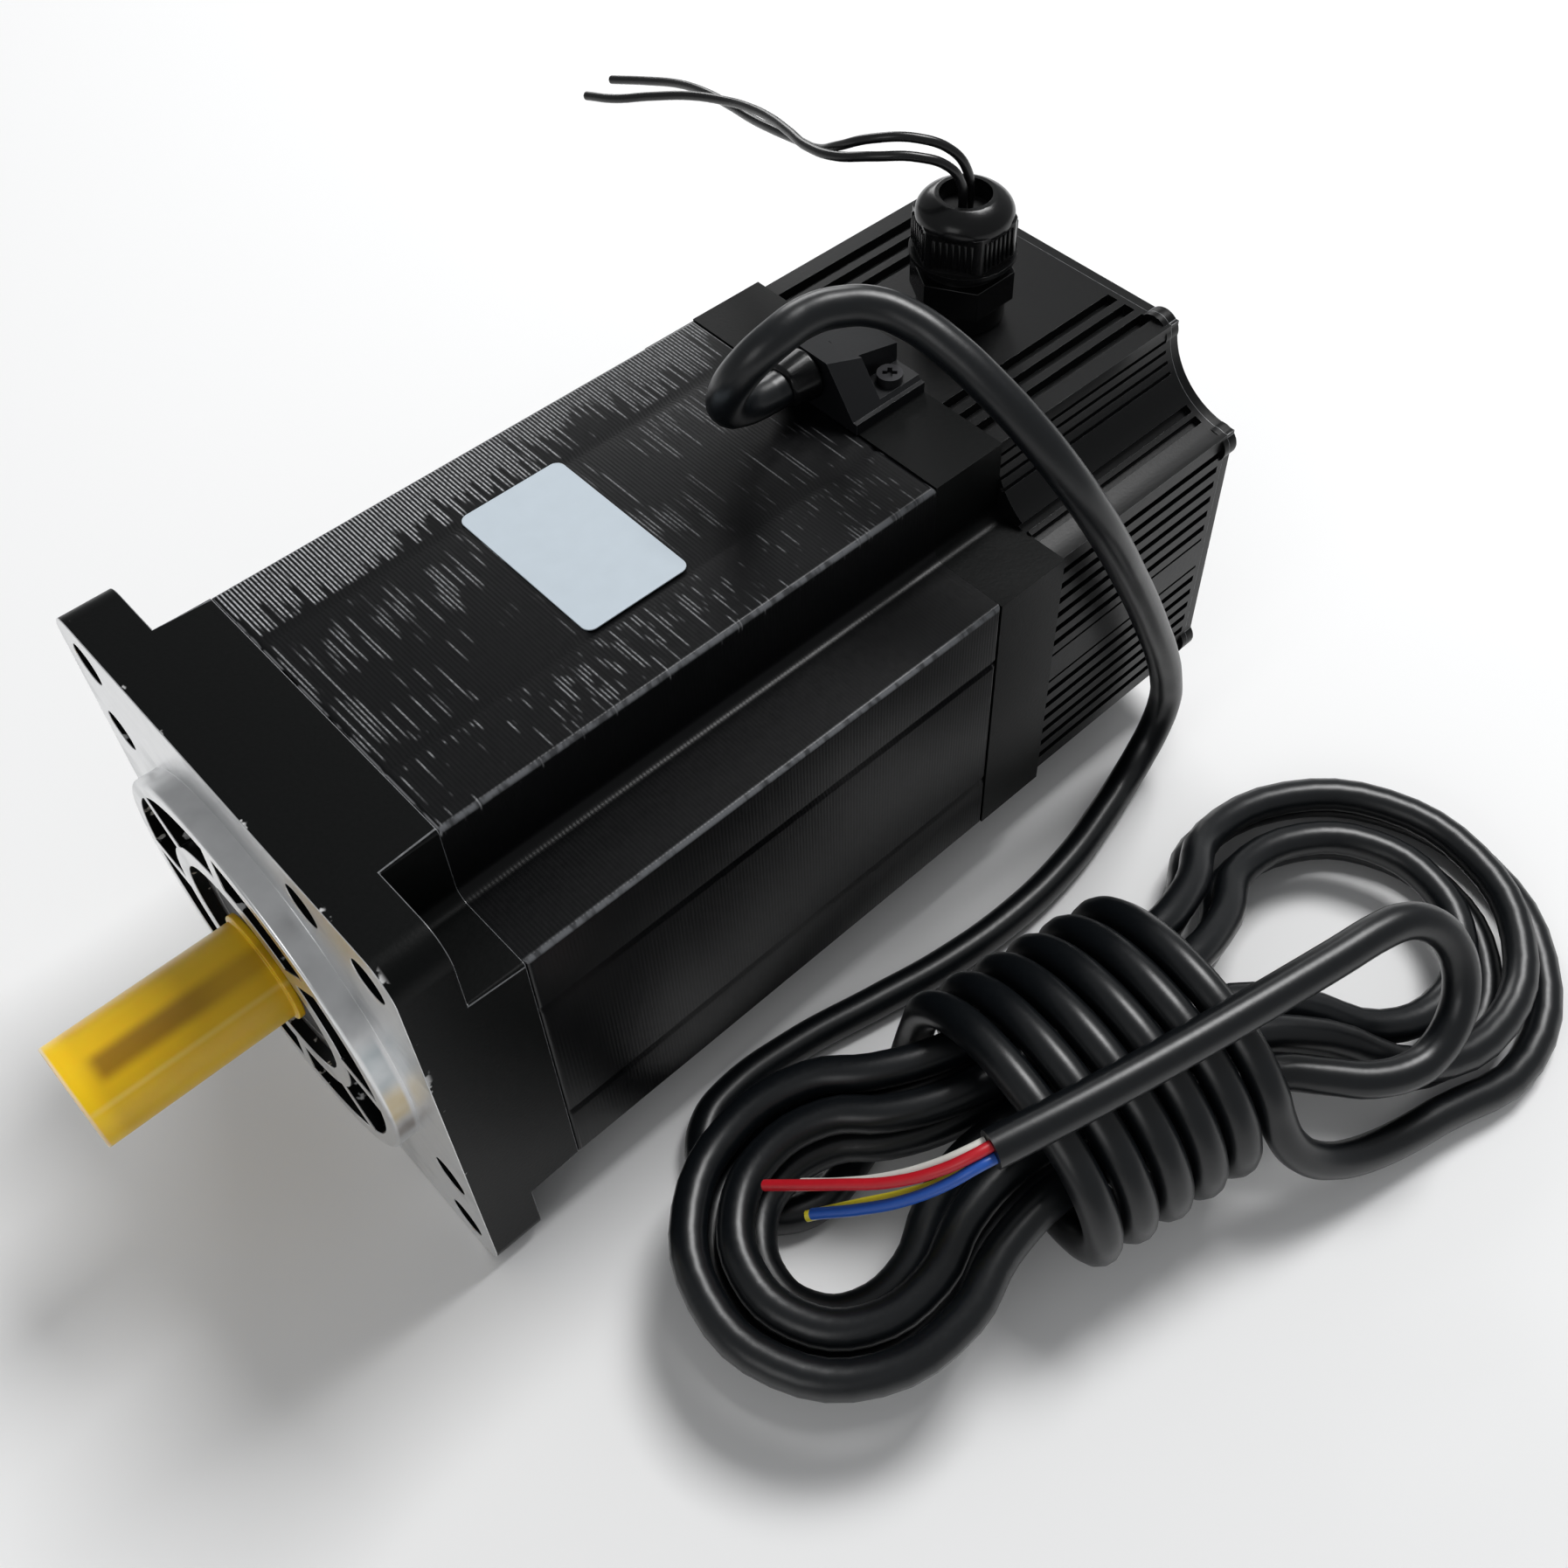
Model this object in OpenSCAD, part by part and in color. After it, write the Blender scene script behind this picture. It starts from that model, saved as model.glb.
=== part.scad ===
// Three-phase stepper motor with a spring-applied safety brake behind it.
// Origin: centre of the mounting face, +X out along the shaft, +Z up.

/* [Mounting flange] */
// Width and height of the square flange and of the body behind it
frame_w = 110; // [108:1:118]
// Thickness of the flange lip that the mounting bolts clamp
flange_t = 11; // [8:0.5:12]
// Radius of the flange's outer corners
flange_corner_r = 7; // [3:0.5:9]
// Diameter of the circle through the four mounting holes
bolt_circle_d = 130; // [126:0.5:132]
// Diameter of the mounting holes
bolt_hole_d = 9; // [5:0.5:10]
// Diameter of the centring pilot
pilot_d = 85; // [80:0.5:86]
// How far the pilot stands out of the mounting face
pilot_h = 5; // [3:0.5:7]
// Diameter of the hub ring in the middle of the pilot
hub_ring_d = 56; // [53:0.5:60]
// Width of the pilot's rim outside the pockets
pilot_rim_w = 3.5; // [2:0.25:5]
// Number of ribs between the pockets
rib_count = 8; // [4:1:12]
// Thickness of a rib
rib_t = 3.5; // [2:0.25:5]
// Depth of the pockets below the pilot's face
pocket_depth = 8; // [4:0.5:10]

/* [Body] */
// Length of the front cap, flange lip included
front_cap_l = 22.6; // [21:0.2:26]
// Length of the lamination stack
stator_l = 115.9; // [100:0.5:150]
// Length of the rear cap
rear_cap_l = 18.5; // [17:0.5:24]
// Width of the square notch along each corner of the body
notch_w = 18.85; // [15:0.25:19]
// Radius of the notch's inner corner
notch_r = 3; // [1:0.5:4]
// Distance of the tie bolts from the nearest side of the frame
tie_edge = 9; // [8:0.25:9.5]
// Distance of the tie bolts from the wall of the notch beside them
tie_in = 9.65; // [8.5:0.05:14]

/* [Brake housing] */
// Length of the finned brake housing
housing_l = 53.9; // [52:0.5:70]
// Thickness of the rear cover
cover_t = 2.5; // [2.4:0.1:4]
// How far the corner lobes stand proud of the housing's faces
lobe_rise = 1.2; // [0.6:0.1:2]
// Radius of the corner lobes
lobe_r = 4; // [3:0.25:4.5]
// Radius of the hollow in each corner
scallop_r = 18; // [16:0.5:18.5]
// Distance of the hollow's centre from both sides of the frame
scallop_edge = 2; // [0:0.5:3]
// Number of wide grooves on each half of the top and bottom
wide_groove_count = 3; // [1:1:3]
// Number of narrow grooves on each half of the sides
side_groove_count = 6; // [2:1:6]
// Depth of the grooves
groove_depth = 2.5; // [1:0.25:3]

/* [Shaft] */
// Diameter of the output shaft
shaft_d = 19; // [14:0.5:19.4]
// How far the shaft stands out of the mounting face
shaft_out = 41; // [35:0.5:60]
// Width of the keyway
key_w = 6; // [4:0.5:6]
// Length of the keyway
key_l = 28; // [20:1:30]
// Wall of the plastic sleeve that guards the shaft
sleeve_wall = 1.4; // [0.8:0.1:2]

/* [Cable gland] */
// Width of the gland's hexagons across corners
gland_w = 22.6; // [20:0.2:25]
// Diameter of the gland's thread
gland_thread_d = 16; // [12:0.5:17]
// Diameter of the hole in the gland's dome
gland_mouth_d = 11; // [6:0.5:12]

/* [Cables] */
// Diameter of the motor cable
cable_d = 7.6; // [7:0.1:7.8]
// Diameter of a core inside the motor cable
core_d = 2.2; // [1.8:0.1:2.3]
// Diameter of a brake lead
lead_d = 2; // [1.6:0.1:2.1]

/* [Hidden] */
$fn = 96;

// Overrun of every cut and the side of a cut that only has to be large
cut = 1;
big = 3 * frame_w;
small_fn = 32;

// Places along the axis, from the mounting face back
x_lip_back = -flange_t;
x_cap_back = -front_cap_l;
x_stator_back = x_cap_back - stator_l;
x_rear_back = x_stator_back - rear_cap_l;
x_house_back = x_rear_back - housing_l;
x_end = x_house_back - cover_t;
half_w = frame_w / 2;
rest_z = -half_w;
notch_at = half_w - notch_w;
bolt_at = bolt_circle_d / 2 / sqrt(2);
tie_up = half_w - tie_edge;
tie_side = notch_at - tie_in;
tie_places = [[tie_side, tie_up], [-tie_up, tie_side], [-tie_side, -tie_up], [tie_up, -tie_side]];
screw_places = [for (p = tie_places) [-p[0], p[1]]];

// Values of the end caps
edge_r = 1.2;
cap_wall = 9;
cap_bore_r = half_w - cap_wall;
rear_wall_t = 7;
rear_web_t = 3;
rear_web_bore_r = 12;
pilot_chamfer = 0.5;
counterbore_depth = 8;
outlet_bore_r = 5;

// Values of the bearings, of a size with a 20 mm bore and a 47 mm outer diameter
bearing_r = 23.5;
boss_wall = 5.5;
boss_r = bearing_r + boss_wall;
bearing_w = 14;
journal_r = 10;
outer_ring_bore_r = 19.4;
inner_ring_r = 14.1;
ball_r = 3.97;
ball_count = 8;
ball_pitch_r = (bearing_r + journal_r) / 2;
ball_clear = 0.06;
cage_wall = 2.6;
cage_w = 6;
pocket_clear = 0.04;
ring_chamfer = 0.8;

// Values of the oil seal in front of the front bearing
seal_recess = 2.5;
seal_w = 7;
seal_gap = 0.5;
seal_case_t = 1.2;
seal_case_lip = 4;
seal_front = pilot_h - seal_recess;
front_bearing_x = seal_front - seal_w - seal_gap;
boss_over = 0.5;
rear_bearing_x = x_stator_back;
seal_run_clear = 0.05;

// Values of the shaft
shaft_shoulder_r = 12.5;
shaft_shoulder_x = front_bearing_x - bearing_w;
journal_front_x = seal_front + 0.3 * seal_case_t;
brake_seat_r = 7.5;
key_depth = 3.5;
key_end_gap = 6;
shaft_chamfer = 1;
sleeve_fit = 0.08;
sleeve_base_gap = 0.7;
sleeve_over = 3;
sleeve_lip_h = 1;
sleeve_lip_l = 1.5;
sleeve_from = journal_front_x + sleeve_base_gap;
sleeve_to = shaft_out + sleeve_over;

// Values of the stator and rotor
air_gap = 0.3;
rotor_in = 23;
rotor_r = half_w - rotor_in;
rotor_gap = 3.4;
magnet_t = 6;
rotor_teeth = 50;
tooth_depth = 1.2;
tooth_share = 0.46;
yoke_t = 8.5;
yoke_bore_r = half_w - yoke_t;
pole_count = 12;
pole_pitch = 2 * PI * (rotor_r + air_gap) / pole_count;
pole_share = 0.473;
shoe_share = 0.739;
pole_w = pole_share * pole_pitch;
shoe_w = shoe_share * pole_pitch;
shoe_h = 2.2;
coil_t = 2.4;
coil_gap = 0.2;
end_turn = 6;
rotor_front_x = x_cap_back - rotor_gap;
rotor_l = stator_l - 2 * rotor_gap;
stack_l = (rotor_l - magnet_t) / 2;

// Values of the tie bolts and screws
tie_d = 5;
tie_head_d = 8.5;
tie_head_h = 5;
tie_socket_d = 4;
tie_socket_depth = 2.5;
tie_into_cap = 14;
screw_d = 4;
screw_head_d = 8;
screw_into_cap = 10;
screw_slot = 2.4;
hole_clear = 0.2;
cross_turns = [45, 135];

// Values of the brake housing's outline
housing_wall = 8;
housing_bore_r = half_w - housing_wall;
housing_face = half_w - lobe_rise;
scallop_at = half_w - scallop_edge;
lobe_out = half_w - lobe_r;
lobe_side = scallop_at - scallop_r - lobe_r + 0.3 * lobe_rise;
wide_groove_w = 2.8;
wide_groove_pitch = 4.7;
wide_groove_in = 11.36;
wide_groove_first = lobe_side - wide_groove_in;
side_groove_w = 1.9;
side_groove_pitch = 4.45;
side_groove_in = 23.06;
side_groove_first = lobe_side - side_groove_in;
thin_groove_in = 3.9;
fine_groove_w = 0.8;
fine_groove_depth = 1;
fine_groove_turns = [188, 196, 204, 212];
lobe_groove_w = 2;
lobe_groove_depth = 1.6;
lobe_groove_turns = [240, 250];
groove_end = 1.5;

// Values of the brake
brake_side_gap = 5;
brake_r = housing_bore_r - brake_side_gap;
plate_t = 3;
plate_bore_r = 14;
brake_gap = 0.3;
disc_in = 8;
disc_r = brake_r - disc_in;
disc_t = 8;
lining_step = 0.8;
armature_t = 6;
armature_in = 1;
armature_r = brake_r - armature_in;
armature_bore_r = 18;
armature_gap = 0.8;
lining_in = 4;
lining_r = (disc_r + armature_bore_r) / 2 - lining_in;
magnet_room = 25.9;
magnet_l = housing_l - magnet_room;
magnet_bore_r = 13;
magnet_back_t = 10;
coil_share = 0.2414;
coil_rim = 10;
coil_in_r = magnet_bore_r + coil_share * (brake_r - magnet_bore_r);
coil_out_r = brake_r - coil_rim;
coil_depth = magnet_l - magnet_back_t;
spring_count = 6;
spring_r = 2.4;
spring_pocket_r = 2.7;
spring_floor = 6;
spring_pocket_depth = coil_depth - spring_floor;
spring_in = 5;
spring_pitch_r = brake_r - spring_in;
spring_out = 0.3;
brake_screw_count = 3;
brake_screw_turn = 30;
brake_screw_d = 5;
brake_screw_in = 3.8;
brake_screw_pitch_r = brake_r - brake_screw_in;
brake_screw_head_d = 8;
brake_screw_head_h = 4;
brake_screw_into = 5;
spacer_r = 3.6;
spacer_clear = 0.4;
hub_w = 24;
hub_l = 11;
hub_clear = 0.1;
hub_key_w = 5;
hub_key_h = 2;
ring_w = 1.2;
ring_r = 9.5;
shaft_tail = 3;
x_plate = x_rear_back - plate_t;
x_disc = x_plate - brake_gap;
x_armature = x_disc - disc_t - brake_gap;
x_magnet = x_armature - armature_t - armature_gap;
x_hub = x_disc - 0.5 * brake_gap;
x_shaft_end = x_hub - hub_l - ring_w - shaft_tail;

// Values of the gland, from the housing's top face up
gland_x = x_rear_back - 25.5;
gland_collar_h = 5.2;
gland_collar_d = 19;
gland_stem_l = 6;
gland_hex_h = 7;
gland_neck_h = 3;
gland_neck_d = 17;
gland_nut_h = 9.6;
gland_dome_h = 4.4;
gland_nut_lip = 1;
gland_rim = 0.8;
gland_bore_r = 6;
gland_seal_drop = 4.2;
gland_seal_h = 7;
z_panel = housing_face;
z_hex = z_panel + gland_collar_h;
z_neck = z_hex + gland_hex_h;
z_nut = z_neck + gland_neck_h;
z_dome = z_nut + gland_nut_h;
z_gland_top = z_dome + gland_dome_h;
z_seal_top = z_gland_top - gland_seal_drop;

// Values of the cable outlet on the rear cap
outlet_base_h = 2.5;
outlet_h = 13;
outlet_base_w = 27;
outlet_lip = 1;
outlet_top_w = 12;
outlet_back = 5;
outlet_ledge_h = 4.5;
outlet_ledge_l = 11;
outlet_ledge_w = 6.5;
outlet_screw_d = 3;
outlet_screw_head_d = 5.4;
outlet_screw_head_h = 2;
outlet_screw_l = 10;
outlet_front = x_stator_back + 0.5;
cable_up = 7.5;
relief_l = 7;
relief_d = 11.4;
relief_tip_d = 9.4;
z_cable = half_w + cable_up;
x_cable = outlet_front + relief_l;

// Values of the label plate, a blank sticker on the stator
label_l = 40;
label_w = 24;
label_t = 0.3;
label_r = 2;
label_at = [-78.8, -0.8];

// Route of the motor cable from the outlet to the hank, its centre line
cable_run = [[-131, 0, 62.5], [-127.5, 0, 62.5], [-120.2, 0.8, 64.4], [-114.9, 3.1, 69.2],
    [-112.9, 6.2, 75.8], [-114.9, 9.3, 82.5], [-120.2, 11.6, 87.2], [-127.5, 12.6, 89], [-133.4, 15, 89.2],
    [-138.2, 18.8, 88.7], [-141.8, 24.7, 86.9], [-144.3, 32.4, 83.5], [-146.6, 40.9, 78.3],
    [-149.3, 49.1, 71.4], [-152.7, 55.7, 62.8], [-157.1, 59.9, 52.8], [-162.7, 61.9, 41.3],
    [-169.1, 62.4, 28.7], [-175.8, 62.5, 15.5], [-182.1, 62.5, 2.2], [-188, 62.5, -11],
    [-192, 62.5, -22.5], [-193.6, 62.5, -32], [-191.5, 62.7, -40], [-186.5, 63.2, -46.5],
    [-179.5, 64.4, -50.2], [-171, 66.4, -51.2], [-152, 70.2, -51.2], [-132.5, 71.2, -51.2],
    [-112, 69.2, -51.2], [-95, 65.6, -51.2], [-74, 61, -51.2], [-56.5, 59.8, -51.2], [-49.3, 61.6, -51.2],
    [-43.7, 66.6, -51.2], [-41.2, 73.6, -51.2], [-42.2, 81, -51.2], [-46.6, 87, -51.2],
    [-53.3, 90.3, -51.2], [-60.2, 90.2, -51.2]];

// Routes of the brake leads from the gland
lead_a_run = [[-181.2, 0.4, 79], [-181.2, 0.4, 82.5], [-180.8, 0, 86], [-178.3, -1.5, 90.2],
    [-173.5, -5.5, 92.6], [-168, -12, 92.2], [-165.3, -20, 89.8], [-166, -29, 87.5], [-169, -38, 85.6],
    [-172, -47, 83.4], [-174, -56, 81], [-175, -66, 78], [-173.5, -76, 75.5], [-170, -86, 72.5],
    [-166.5, -95, 69.5], [-165, -104, 67]];
lead_b_run = [[-184, -0.4, 79], [-184, -0.4, 82.5], [-183.5, -0.8, 87], [-180.8, -2.8, 92],
    [-175.5, -7.5, 95], [-169.9, -14.5, 94.2], [-168, -22, 90], [-169.5, -30, 85], [-171.6, -39, 82.2],
    [-173.2, -48, 79.8], [-175.2, -57, 77.4], [-177.6, -67, 75.2], [-179.5, -78, 73], [-180.5, -89, 70],
    [-179.5, -100, 66.5], [-177.5, -111, 63]];

// Routes of the cores past the end of the cable's jacket
core_white_run = [[-69.8, 118.4, -3], [-66.7, 117.3, -3.6], [-61.5, 113.6, -7.9], [-56, 108, -13.5],
    [-51, 101, -19.5], [-47, 94, -25]];
core_red_run = [[-69.3, 120, -1.4], [-66, 119, -1.8], [-61, 116, -5], [-55, 110, -10.5],
    [-49, 101, -17], [-42, 89, -26]];
core_blue_run = [[-68.8, 121.6, -3], [-65.6, 120.6, -3.3], [-60.5, 118, -7], [-55, 113.5, -12.5],
    [-50, 107.5, -18.5], [-44.5, 99.5, -25.5]];
core_yellow_run = [[-69.3, 120, -4.6], [-66.2, 119, -5.4], [-61.4, 116.2, -10.6], [-56.5, 111, -17],
    [-51, 104.5, -23.5], [-44.5, 98, -29]];

// Values of the hank: runs laid up and down and wrapped in the middle
hank_at = [-127, 118];
hank_turn = 168;
climb_run = 3.5;
run_in = 2.15;
run_step = 8.9;
run_first = -0.25;
run_last = 7.5;
run_rings = 12;
left_lift = 9;
lift_from = 26;
lift_to = 76;
waist_back = 21;
reach_right = 95;
reach_left = 71.5;
reach_step_right = 13;
reach_step_left = 9;
half_right = 22;
half_left = 13.5;
half_step_right = 11.5;
half_step_left = 8.9;
level_l = 29.5;
level_step = 4.2;
wrap_half_w = 28.2;
wrap_half_h = 20.9;
wrap_mid_w = -2.1;
wrap_pitch = 8.4;
wrap_start = -46;
wrap_turns = 5.75;
wrap_first = 0.25;
wrap_rings = 24;
entry_turn = 25;
entry_reach = 19;
entry_grip = 11;
exit_grip = 17;
exit_grip_late = 26;
join_rings = 8;
tail_in = [0, -19.8, 28.4];
tail_low = [34, -35.5, 27];
tail_high = [34, -17, 53];
tail_end = [-56, -14, 52];
tail_grip = 14;
tail_grip_late = 30;
tail_rings = 10;
cable_sides = 8;
hank_sides = 6;
min_gap = 0.4;

// Solids along the axis: a disc, and an outline drawn in Y and Z
module disc(x_a, x_b, r) {
    translate([min(x_a, x_b), 0, 0]) rotate([0, 90, 0]) cylinder(h = abs(x_b - x_a), r = r);
}

module along_x(x_a, x_b) {
    translate([min(x_a, x_b), 0, 0]) rotate([90, 0, 90]) linear_extrude(height = abs(x_b - x_a)) children();
}

module rod(x_a, x_b, place, r) {
    translate([min(x_a, x_b), place[0], place[1]]) rotate([0, 90, 0])
        cylinder(h = abs(x_b - x_a), r = r, $fn = small_fn);
}

module ring_at(count, pitch_r, first_turn = 0) {
    for (i = [0:count - 1]) rotate([first_turn + 360 / count * i, 0, 0]) translate([0, 0, pitch_r]) children();
}

module turned(x_from) {
    translate([x_from, 0, 0]) rotate([0, -90, 0]) rotate_extrude() children();
}

module round_square(w, r) {
    inner = w - 2 * r;
    square([w, inner], center = true);
    square([inner, w], center = true);
    for (a = [-1, 1]) for (b = [-1, 1]) translate([a * inner / 2, b * inner / 2]) circle(r = r, $fn = small_fn);
}

module four_ways() {
    for (i = [0:3]) rotate(90 * i) children();
}

module body_outline() {
    difference() {
        round_square(frame_w, edge_r);
        four_ways() {
            translate([notch_at + notch_r, notch_at]) square(notch_w);
            translate([notch_at, notch_at + notch_r]) square(notch_w);
            translate([notch_at + notch_r, notch_at + notch_r]) circle(r = notch_r, $fn = small_fn);
        }
    }
}

// Front cap: flange lip, pilot with pockets, and the front bearing's seat
module front_flange() {
    color("#1b1c1e") difference() {
        union() {
            along_x(x_lip_back, 0) round_square(frame_w, flange_corner_r);
            along_x(x_cap_back, x_lip_back) body_outline();
            disc(0, pilot_h - pilot_chamfer, pilot_d / 2);
            translate([pilot_h - pilot_chamfer, 0, 0]) rotate([0, 90, 0])
                cylinder(h = pilot_chamfer, r1 = pilot_d / 2, r2 = pilot_d / 2 - pilot_chamfer);
        }
        difference() {
            disc(x_cap_back - cut, x_lip_back, cap_bore_r);
            disc(shaft_shoulder_x - boss_over, x_lip_back + cut, boss_r);
        }
        difference() {
            disc(pilot_h - pocket_depth, pilot_h + cut, pilot_d / 2 - pilot_rim_w);
            disc(pilot_h - pocket_depth - cut, pilot_h + 2 * cut, hub_ring_d / 2);
            for (i = [0:rib_count - 1]) rotate([360 / rib_count * i, 0, 0])
                translate([pilot_h - pocket_depth - cut, -rib_t / 2, 0])
                    cube([pocket_depth + 3 * cut, rib_t, pilot_d / 2]);
        }
        disc(x_cap_back - cut, pilot_h + cut, bearing_r);
        for (a = [-1, 1]) for (b = [-1, 1])
            rod(x_lip_back - cut, cut, [a * bolt_at, b * bolt_at], bolt_hole_d / 2);
        for (p = tie_places) {
            rod(x_cap_back - cut, cut, p, tie_d / 2 + hole_clear);
            rod(-counterbore_depth, cut, p, tie_head_d / 2 + hole_clear);
        }
    }
}

// Lamination stack with twelve wound poles, its notched outside bare
module stator_core() {
    color("#222326") along_x(x_stator_back, x_cap_back) difference() {
        union() {
            difference() {
                body_outline();
                circle(r = yoke_bore_r);
            }
            intersection() {
                for (i = [0:pole_count - 1]) rotate(360 / pole_count * i) {
                    translate([-pole_w / 2, 0]) square([pole_w, yoke_bore_r + cut]);
                    translate([-shoe_w / 2, 0]) square([shoe_w, rotor_r + air_gap + shoe_h]);
                }
                circle(r = yoke_bore_r + cut);
            }
        }
        circle(r = rotor_r + air_gap);
        for (p = tie_places) translate(p) circle(r = tie_d / 2 + hole_clear, $fn = small_fn);
    }
}

// One enamelled coil round each pole
module stator_windings() {
    coil_low = rotor_r + air_gap + shoe_h + coil_gap;
    coil_high = cap_bore_r - coil_t;
    inner_w = pole_w + 2 * coil_gap;
    outer_w = inner_w + 2 * coil_t;
    inner_l = stator_l + 2 * coil_gap;
    outer_l = stator_l + 2 * end_turn;
    color("#a8552b") translate([(x_cap_back + x_stator_back) / 2, 0, 0])
        for (i = [0:pole_count - 1]) rotate([360 / pole_count * i, 0, 0]) difference() {
            translate([-outer_l / 2, -outer_w / 2, coil_low]) cube([outer_l, outer_w, coil_high - coil_low]);
            translate([-inner_l / 2, -inner_w / 2, coil_low - cut])
                cube([inner_l, inner_w, coil_high - coil_low + 2 * cut]);
        }
}

// Rear cap: the rear bearing's seat, and the wall that carries the brake
module rear_end_cap() {
    color("#1b1c1e") difference() {
        along_x(x_rear_back, x_stator_back) body_outline();
        difference() {
            disc(x_rear_back + rear_wall_t, x_stator_back + cut, cap_bore_r);
            disc(x_rear_back, x_stator_back + 2 * cut, boss_r);
        }
        disc(x_rear_back + rear_web_t, x_stator_back + cut, bearing_r);
        disc(x_rear_back - cut, x_stator_back, rear_web_bore_r);
        for (p = tie_places) rod(x_stator_back - tie_into_cap, x_stator_back + cut, p, tie_d / 2);
        for (p = screw_places) rod(x_rear_back - cut, x_rear_back + screw_into_cap, p, screw_d / 2);
        ring_at(brake_screw_count, brake_screw_pitch_r, brake_screw_turn)
            rod(x_rear_back - cut, x_rear_back + brake_screw_into, [0, 0], brake_screw_d / 2);
        translate([outlet_mid_x(), 0, cap_bore_r - 2 * cut])
            cylinder(h = half_w, r = outlet_bore_r, $fn = small_fn);
        for (s = [-1, 1]) translate([outlet_screw_x(), s * outlet_screw_y(), half_w - outlet_screw_l])
            cylinder(h = half_w, r = outlet_screw_d / 2, $fn = small_fn);
    }
}

function outlet_mid_x() = x_stator_back - rear_cap_l / 3;
function outlet_screw_x() = x_rear_back + outlet_ledge_l / 2;
function outlet_screw_y() = (outlet_base_w / 2 + outlet_ledge_w) / 2;

module cap_screw(x_head, length, place, d, head_d, head_h, socket_d, socket_depth) {
    difference() {
        union() {
            rod(x_head - head_h - length, x_head - head_h + cut / 2, place, d / 2);
            rod(x_head - head_h, x_head, place, head_d / 2);
        }
        translate([x_head - socket_depth, place[0], place[1]]) rotate([0, 90, 0])
            cylinder(h = socket_depth + cut, r = socket_d / 2 / cos(30), $fn = 6);
    }
}

// Four long bolts that clamp the caps to the stack
module tie_bolts() {
    head_x = tie_head_h - counterbore_depth;
    length = head_x - tie_head_h - x_stator_back + tie_into_cap;
    color("#3a3b3d") for (p = tie_places)
        cap_screw(head_x, length, p, tie_d, tie_head_d, tie_head_h, tie_socket_d, tie_socket_depth);
}

module rotor_stack(x_front, phase) {
    pitch = 360 / rotor_teeth;
    root_r = rotor_r - tooth_depth;
    tooth = [for (i = [0:rotor_teeth - 1]) each
        [for (s = [[-0.5, root_r], [-0.5, rotor_r], [0.5, rotor_r], [0.5, root_r]])
            let (a = (i + phase + s[0] * tooth_share) * pitch) [s[1] * cos(a), s[1] * sin(a)]]];
    along_x(x_front - stack_l, x_front) difference() {
        polygon(tooth);
        circle(r = shaft_shoulder_r);
    }
}

// Toothed rotor halves, half a tooth apart, with the magnet between them
module rotor_front_stack() {
    color("#6d7074") rotor_stack(rotor_front_x, 0);
}

module rotor_magnet() {
    color("#2c2c30") difference() {
        disc(rotor_front_x - stack_l - magnet_t, rotor_front_x - stack_l, rotor_r - tooth_depth);
        disc(rotor_front_x - stack_l - magnet_t - cut, rotor_front_x - stack_l + cut, shaft_shoulder_r);
    }
}

module rotor_rear_stack() {
    color("#6d7074") rotor_stack(rotor_front_x - stack_l - magnet_t, 0.5);
}

// Stepped shaft with its keyway
module motor_shaft() {
    r = shaft_d / 2;
    color("#b9bcc0") difference() {
        union() {
            disc(journal_front_x, shaft_out - shaft_chamfer, r);
            translate([shaft_out - shaft_chamfer, 0, 0]) rotate([0, 90, 0])
                cylinder(h = shaft_chamfer, r1 = r, r2 = r - shaft_chamfer);
            disc(shaft_shoulder_x, journal_front_x, journal_r);
            disc(rear_bearing_x, shaft_shoulder_x, shaft_shoulder_r);
            disc(x_rear_back, rear_bearing_x, journal_r);
            disc(x_shaft_end, x_rear_back, brake_seat_r);
        }
        translate([shaft_out - key_end_gap - key_l, -key_w / 2, r - key_depth])
            cube([key_l, key_w, key_depth + cut]);
        translate([x_hub - hub_l, -hub_key_w / 2, brake_seat_r - hub_key_h])
            cube([hub_l, hub_key_w, hub_key_h + cut]);
        difference() {
            disc(x_hub - hub_l - ring_w, x_hub - hub_l, brake_seat_r + cut);
            disc(x_hub - hub_l - ring_w - cut, x_hub - hub_l + cut, brake_seat_r - ring_depth());
        }
    }
}

function ring_depth() = 0.6 * ring_w;

// Plastic guard tube that pulls off the shaft
module shaft_sleeve() {
    inner_r = shaft_d / 2 + sleeve_fit;
    color("#e8c21a") difference() {
        union() {
            disc(sleeve_from, sleeve_to, inner_r + sleeve_wall);
            disc(sleeve_from, sleeve_from + sleeve_lip_l, inner_r + sleeve_wall + sleeve_lip_h);
        }
        disc(sleeve_from - cut, sleeve_to + cut, inner_r);
    }
}

// Oil seal: a steel case and a rubber lip that runs on the journal
module oil_seal_case() {
    color("#8d9094") turned(seal_front) difference() {
        translate([bearing_r - seal_case_lip, 0]) square([seal_case_lip, seal_w]);
        translate([bearing_r - seal_case_lip - cut, seal_case_t])
            square([seal_case_lip + cut - seal_case_t, seal_w]);
    }
}

module oil_seal_lip() {
    lip_r = journal_r + seal_run_clear;
    case_r = bearing_r - seal_case_lip;
    color("#1a1a1a") turned(seal_front) {
        translate([lip_r, seal_case_t]) square([seal_case_t, seal_w - 2 * seal_case_t]);
        translate([lip_r, 0]) square([case_r - lip_r, seal_case_t]);
        translate([case_r - seal_case_t, 0]) square([seal_case_t, 2 * seal_case_t]);
        translate([case_r - seal_case_t, seal_case_t]) square([bearing_r - case_r, seal_case_t]);
    }
}

module outer_ring(x_front) {
    turned(x_front) difference() {
        translate([outer_ring_bore_r, 0]) square([bearing_r - outer_ring_bore_r, bearing_w]);
        translate([ball_pitch_r, bearing_w / 2]) circle(r = ball_r + ball_clear);
    }
}

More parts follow.
